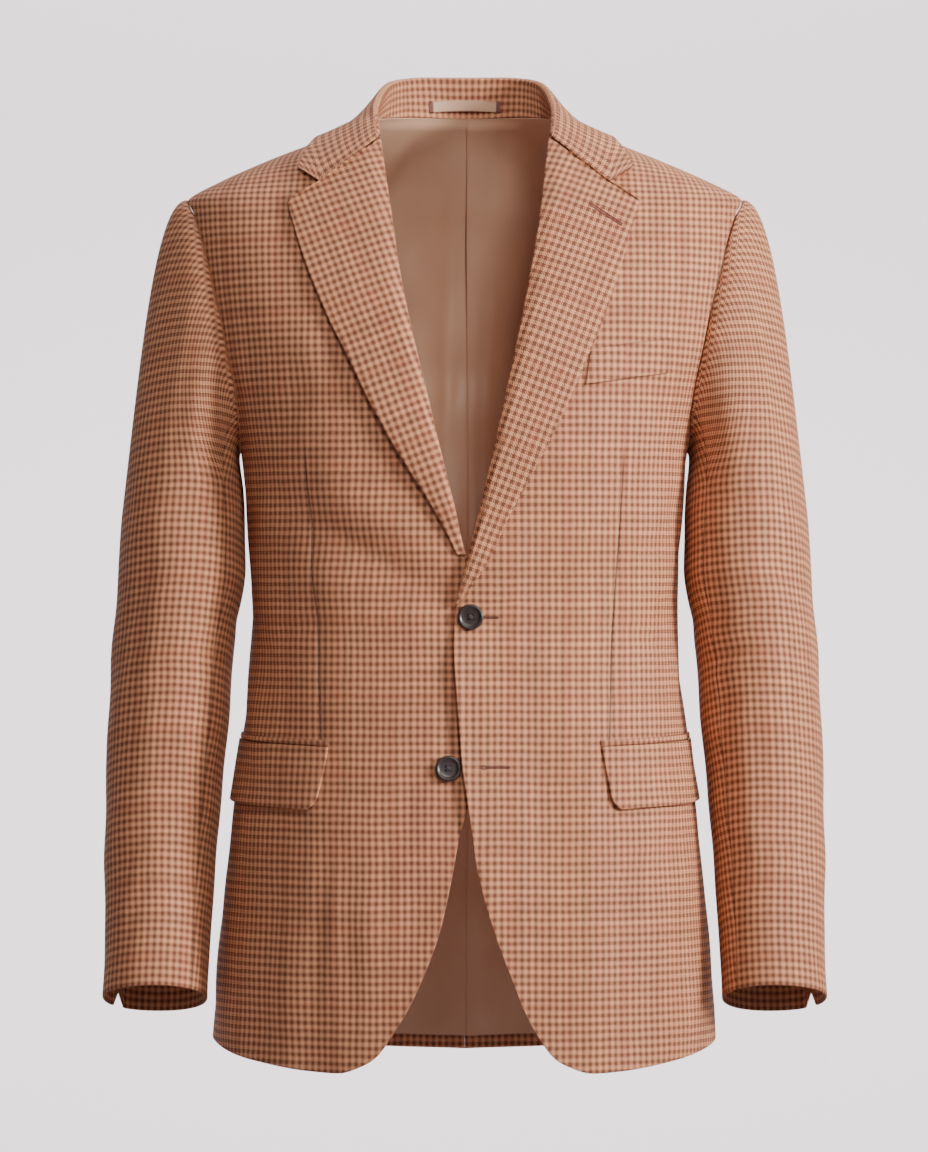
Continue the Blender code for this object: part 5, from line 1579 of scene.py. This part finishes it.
# The weave as steps. Each has its result's name, what it does, and what it takes: earlier results by name,
# numbers or colours. FLOAT and RGBA mix the last two by the first, and the rest are sums.
WEAVE = [
    ("off_middle", "SUBTRACT", "wobble", 0.5),
    ("shift", "MULTIPLY", "off_middle", 1.1),
    ("across", "ADD", "across", "shift"),
    ("up", "ADD", "up", "shift"),
    ("warp_place", "MULTIPLY", "across", CHECK_THREADS / CHECK["across"]),
    ("weft_place", "MULTIPLY", "up", CHECK_THREADS / CHECK["up"]),
    ("warp", "FLOOR", "warp_place"),
    ("weft", "FLOOR", "weft_place"),
    ("warp_in_check", "FLOORED_MODULO", "warp", CHECK_THREADS),
    ("weft_in_check", "FLOORED_MODULO", "weft", CHECK_THREADS),
    ("dark_warp", "LESS_THAN", "warp_in_check", CHECK_THREADS / 2 - 0.5),
    ("dark_weft", "LESS_THAN", "weft_in_check", CHECK_THREADS / 2 - 0.5),
    ("crossing", "ADD", "warp", "weft"),
    ("twill_step", "FLOORED_MODULO", "crossing", 4.0),
    ("warp_on_top", "LESS_THAN", "twill_step", 1.5),
    ("dark", "FLOAT", "warp_on_top", "dark_weft", "dark_warp"),
    ("from_start_up", "SUBTRACT", "up", OVERCHECK_START["up"]),
    ("from_start_across", "SUBTRACT", "across", OVERCHECK_START["across"]),
    ("in_pane_up", "FLOORED_MODULO", "from_start_up", OVERCHECK["up"]),
    ("in_pane_across", "FLOORED_MODULO", "from_start_across", OVERCHECK["across"]),
    ("rust_up", "LESS_THAN", "in_pane_up", OVERCHECK_WIDTH["up"]),
    ("rust_across", "LESS_THAN", "in_pane_across", OVERCHECK_WIDTH["across"]),
    ("rust", "FLOAT", "warp_on_top", "rust_up", "rust_across"),
    ("slub", "FLOAT", "warp_on_top", "slub_weft", "slub_warp"),
    ("patches", "ADD", "bands_warp", "bands_weft"),
    ("light_yarn", "RGBA", "slub", linear(LIGHT_YARN[0]), linear(LIGHT_YARN[1])),
    ("light_rust", "MULTIPLY", "rust", RUST_SHARE),
    ("light_yarn", "RGBA", "light_rust", "light_yarn", linear(RUST_YARN)),
    ("dark_yarn", "RGBA", "slub", linear(DARK_YARN[0]), linear(DARK_YARN[1])),
    ("dark_rust", "MULTIPLY", "rust", RUST_SHARE * 0.6),
    ("dark_yarn", "RGBA", "dark_rust", "dark_yarn", linear(RUST_YARN)),
    ("colour", "RGBA", "dark", "light_yarn", "dark_yarn"),
    ("swing", "MULTIPLY", "patches", TONE_SWING),
    ("tone", "ADD", "swing", 1.0 - TONE_SWING),
    # The shade painted on the mesh darkens the tone along seams, darts and edges.
    ("unshaded", "SUBTRACT", 1.0, "shade"),
    ("tone", "MULTIPLY", "tone", "unshaded"),
    ("in_warp", "FRACT", "warp_place"),
    ("in_weft", "FRACT", "weft_place"),
    ("from_warp", "SUBTRACT", "in_warp", 0.5),
    ("from_weft", "SUBTRACT", "in_weft", 0.5),
    ("warp_fall", "MULTIPLY", "from_warp", "from_warp"),
    ("weft_fall", "MULTIPLY", "from_weft", "from_weft"),
    ("warp_fall", "MULTIPLY", "warp_fall", 4.0),
    ("weft_fall", "MULTIPLY", "weft_fall", 4.0),
    ("warp_back", "SUBTRACT", 1.0, "warp_fall"),
    ("weft_back", "SUBTRACT", 1.0, "weft_fall"),
    ("backs", "FLOAT", "warp_on_top", "weft_back", "warp_back"),
    ("slub_height", "MULTIPLY", "slub", 0.7),
    ("raised", "ADD", "backs", "slub_height"),
]
MIX_SOCKETS = dict(FLOAT=("in2", "in3", 0), RGBA=("in6", "in7", 2))  # a Mix node's two inputs and output


def linen_weave():
    """Linen and silk suiting in a 2/2 twill: matt, slubby, and checked where six dark threads cross six
    light ones, so that each dark square grows small teeth. The threads are drawn about as coarse as they
    need to show. A faint rust line crosses every eighth or tenth check. The eye gets a broken two-tone
    check with a dry sheen on its ridges.
    """
    finish = dict(Roughness=0.66, Specular_IOR_Level=0.3, Sheen_Weight=0.08, Sheen_Roughness=0.4)
    material, tree, shader = blank_material("linen_weave", **finish, Sheen_Tint=linear("f0c8a8"))
    place, (across, up, shade) = cloth_coordinates(tree)
    made = dict(across=across, up=up, shade=shade)
    made["wobble"] = add(tree, "ShaderNodeTexNoise", Vector=place, Scale=0.09, Detail=2.0).outputs[0]
    for name, (scale, detail) in YARN_NOISE.items():
        drawn_out = add(tree, "ShaderNodeMapping", Vector=place, Scale=scale).outputs[0]
        made[name] = add(tree, "ShaderNodeTexNoise", Vector=drawn_out, Scale=1.0, Detail=detail).outputs[0]
    for name, what, *taken in WEAVE:
        taken = [made[term] if isinstance(term, str) else term for term in taken]
        if what in MIX_SOCKETS:
            first, second, out = MIX_SOCKETS[what]
            links = {"in0": taken[0], first: taken[1], second: taken[2]}
            made[name] = add(tree, "ShaderNodeMix", {"data_type": what}, **links).outputs[out]
        else:
            links = {f"in{number}": term for number, term in enumerate(taken)}
            made[name] = add(tree, "ShaderNodeMath", {"operation": what}, **links).outputs[0]
    toned = add(tree, "ShaderNodeVectorMath", {"operation": "SCALE"}, in0=made["colour"], Scale=made["tone"])
    tree.links.new(toned.outputs[0], shader.inputs["Base Color"])
    bump = add(tree, "ShaderNodeBump", Strength=0.6, Distance=0.00014, Height=made["raised"])
    tree.links.new(bump.outputs[0], shader.inputs["Normal"])
    return material


def satin_lining():
    """Warp-faced viscose satin: smooth, with a soft wide gloss that runs along its folds."""
    finish = dict(Roughness=0.36, Specular_IOR_Level=0.55, Sheen_Weight=0.12, Sheen_Roughness=0.4)
    material, tree, shader = blank_material("satin_lining", **finish)
    place, (_, _, shade) = cloth_coordinates(tree)
    fine = add(tree, "ShaderNodeMapping", Vector=place, Scale=(3.2, 0.05, 1.0))
    threads_seen = add(tree, "ShaderNodeTexNoise", Vector=fine.outputs[0], Scale=1.0, Detail=2.0).outputs[0]
    broad = add(tree, "ShaderNodeTexNoise", Vector=place, Scale=0.02, Detail=2.0).outputs[0]
    tones = dict(in0=broad, in6=linear(SATIN_TONES[0]), in7=linear(SATIN_TONES[1]))
    mix = add(tree, "ShaderNodeMix", {"data_type": "RGBA"}, **tones)
    # The shade painted on the mesh darkens the satin beside the pleat's folded edge and along the loop's edges.
    lit = add(tree, "ShaderNodeMath", {"operation": "SUBTRACT"}, in0=1.0, in1=shade).outputs[0]
    shaded = add(tree, "ShaderNodeVectorMath", {"operation": "SCALE"}, in0=mix.outputs[2], Scale=lit)
    tree.links.new(shaded.outputs[0], shader.inputs["Base Color"])
    bump = add(tree, "ShaderNodeBump", Strength=0.25, Distance=0.00006, Height=threads_seen)
    tree.links.new(bump.outputs[0], shader.inputs["Normal"])
    return material


def horn_resin():
    """Polyester button stock cast to look like dark horn, turned and polished: brown clouds under a gloss."""
    finish = dict(IOR=1.55, Roughness=0.38, Coat_Weight=0.12, Coat_Roughness=0.2)
    material, tree, shader = blank_material("horn_resin", **finish)
    place, _ = cloth_coordinates(tree)
    streaks = add(tree, "ShaderNodeMapping", Vector=place, Scale=(0.35, 0.11, 0.35)).outputs[0]
    clouds = add(tree, "ShaderNodeTexNoise", Vector=streaks, Scale=1.0, Detail=4.0, Distortion=0.8).outputs[0]
    sharp = add(tree, "ShaderNodeMath", {"operation": "POWER"}, in0=clouds, in1=2.0).outputs[0]
    tones = dict(in0=sharp, in6=linear(HORN_TONES[0]), in7=linear(HORN_TONES[1]))
    mix = add(tree, "ShaderNodeMix", {"data_type": "RGBA"}, **tones)
    tree.links.new(mix.outputs[2], shader.inputs["Base Color"])
    return material


def sewing_thread(name, light, dark):
    """Twisted polyester or silk thread: a low sheen broken by its ply, 0.4 mm thick."""
    material, tree, shader = blank_material(name, Roughness=0.5, Sheen_Weight=0.2)
    place, _ = cloth_coordinates(tree)
    ply = add(tree, "ShaderNodeTexNoise", Vector=place, Scale=2.5, Detail=2.0).outputs[0]
    mix = add(tree, "ShaderNodeMix", {"data_type": "RGBA"}, in0=ply, in6=linear(dark), in7=linear(light))
    tree.links.new(mix.outputs[2], shader.inputs["Base Color"])
    return material


def all_looks():
    return dict(
        linen=linen_weave(),
        satin=satin_lining(),
        horn=horn_resin(),
        button_thread=sewing_thread("button_thread", "4a3a36", "241a1a"),
        hole_thread=sewing_thread("buttonhole_silk", "8a4a3c", "5a2a22"),
        lapel_thread=sewing_thread("lapel_silk", "9a4c38", "74342a"),
    )


# Studio --------------------------------------------------------------------------------------------


FLOOR_TONES = ("e9dfe3", "ebe2e6")
# The floor, in metres: its height, where it ends before and behind, its half width, the radius of the curve
# that takes it up behind, and the wall's top.
FLOOR = dict(height=-1.5, before=-12.0, behind=8.2, half=11.0, curve=2.1, top=8.5)
CAMERA = dict(distance=5.0, seen_height=0.9285, across=-0.0006, height=-0.369)
SENSOR = 36
AIR = dict(tone="e8e6ea", strength=0.24)
# Each light: where it stands, where it is aimed, its width and height, its spread in degrees, its watts.
LIGHTS = [
    ("key", (3.04, -1.72, 0.62), (0.0, 0.0, -0.35), (0.7, 1.0), 36, 9.4),
    ("front", (0.9, -3.6, 2.2), (0.0, 0.0, -0.2), (1.0, 0.8), 30, 3.2),
    ("top", (0.0, 1.2, 2.8), (0.0, 0.0, -0.2), (2.0, 1.0), 60, 8),
    ("wall_wash", (0.0, 5.42, 4.96), (0.0, 8.2, -0.42), (6.95, 1.04), 110, 500),
]


def studio():
    """A plain pale floor that curves up behind, soft lights and the camera at the photograph's angle."""
    turns = np.linspace(0, math.pi / 2, 24)
    behind = FLOOR["behind"] + FLOOR["curve"] * (np.sin(turns) - 1)
    rising = FLOOR["height"] + FLOOR["curve"] * (1 - np.cos(turns))
    profile = [(FLOOR["before"], FLOOR["height"]), *zip(behind, rising), (FLOOR["behind"], FLOOR["top"])]
    points = [(x, y, z) for y, z in profile for x in (-FLOOR["half"], FLOOR["half"])]
    faces = [(2 * i, 2 * i + 1, 2 * i + 3, 2 * i + 2) for i in range(len(profile) - 1)]
    mesh = bpy.data.meshes.new("studio_floor")
    mesh.from_pydata(points, [], faces)
    mesh.polygons.foreach_set("use_smooth", np.ones(len(faces), bool))
    material, tree, shader = blank_material("painted_floor", Roughness=0.9)
    grain = add(tree, "ShaderNodeTexNoise", Scale=1.2, Detail=2.0).outputs[0]
    tones = dict(in0=grain, in6=linear(FLOOR_TONES[0]), in7=linear(FLOOR_TONES[1]))
    mix = add(tree, "ShaderNodeMix", {"data_type": "RGBA"}, **tones)
    tree.links.new(mix.outputs[2], shader.inputs["Base Color"])
    mesh.materials.append(material)
    placed("studio_floor", mesh)
    for name, place, aim, size, spread, power in LIGHTS:
        data = bpy.data.lights.new(name, "AREA")
        data.shape = "RECTANGLE"
        data.size, data.size_y = size
        data.spread = math.radians(spread)
        data.energy = power
        lamp = placed(name, data)
        lamp.location = place
        lamp.visible_camera = False
        lamp.rotation_euler = (Vector(aim) - Vector(place)).to_track_quat("-Z", "Y").to_euler()
    world = bpy.data.worlds.new("studio_air")
    bpy.context.scene.world = world
    world.use_nodes = True
    background = world.node_tree.nodes["Background"]
    background.inputs["Color"].default_value = linear(AIR["tone"])
    background.inputs["Strength"].default_value = AIR["strength"]
    lens = bpy.data.cameras.new("camera")
    lens.sensor_fit = "VERTICAL"
    lens.sensor_height = SENSOR
    lens.lens = SENSOR * CAMERA["distance"] / CAMERA["seen_height"]
    lens.clip_end = 50
    camera = placed("camera", lens)
    camera.location = (CAMERA["across"], -CAMERA["distance"], CAMERA["height"])
    camera.rotation_euler = (math.radians(90), 0, 0)
    bpy.context.scene.camera = camera


# The jacket ----------------------------------------------------------------------------------------

# Each worked slit: where it starts and ends seen from the front, its stitches' length, half its gap, the
# length of its round eye, and its thread.
SLITS = [
    ("upper_buttonhole", (9.0, -401.3), (25.8, -401.6), 0.9, 0.3, 0.0, "hole_thread"),
    ("lower_buttonhole", (14.0, -519.4), (34.5, -519.4), 0.9, 0.3, 3.0, "hole_thread"),
    ("lapel_buttonhole", (99.0, -73.5), (123.8, -90.0), 1.3, 0.25, 0.0, "lapel_thread"),
]
HEM_TURNED, CUFF_TURNED = 24.0, 42.0  # how far the cloth is turned up inside the hem and the cuffs


def jacket():
    looks = all_looks()
    left = front("front_left", LEFT_EDGE, 1, looks, True)
    front("front_right", RIGHT_EDGE, -1, looks, False)
    for hand, side in (("left", 1), ("right", -1)):
        seamed_panel("side", hand, side, looks, side_grid())
        seamed_panel("back", hand, side, looks, back_grid())
        sleeve_piece("sleeve_top", hand, HINDARM_SEAM - 2 * math.pi, FOREARM_SEAM, side, looks)
        sleeve_piece("sleeve_under", hand, FOREARM_SEAM, HINDARM_SEAM, side, looks)
        pocket_flap(f"pocket_flap_{hand}", side, looks)
        jet(f"pocket_jet_{hand}", side, looks)
    left_lapel = lapel("lapel_left", LEFT_EDGE, LEFT_LAPEL_EDGE, LEFT_BREAK, 1, looks, True)
    lapel("lapel_right", RIGHT_EDGE, RIGHT_LAPEL_EDGE, RIGHT_BREAK, -1, looks, False)
    collar(looks)
    chest_welt(looks)
    hanger_loop(looks)
    bar_tacks(looks)
    lining("lining_left", 1, looks, PLEAT["edge"], True)
    lining("lining_right", -1, looks, PLEAT["under"], False)
    button("button_upper", UPPER_BUTTON, OVERLAP_LIFT + BUTTON_SHANK, looks)
    button("button_lower", LOWER_BUTTON, BUTTON_SHANK, looks)
    for name, start, end, bite, gap, eye, thread in SLITS:
        cloth = left_lapel if name.startswith("lapel") else left
        stitched_slit(name, cloth, start, end, bite, gap, eye, looks, thread)


studio()
jacket()
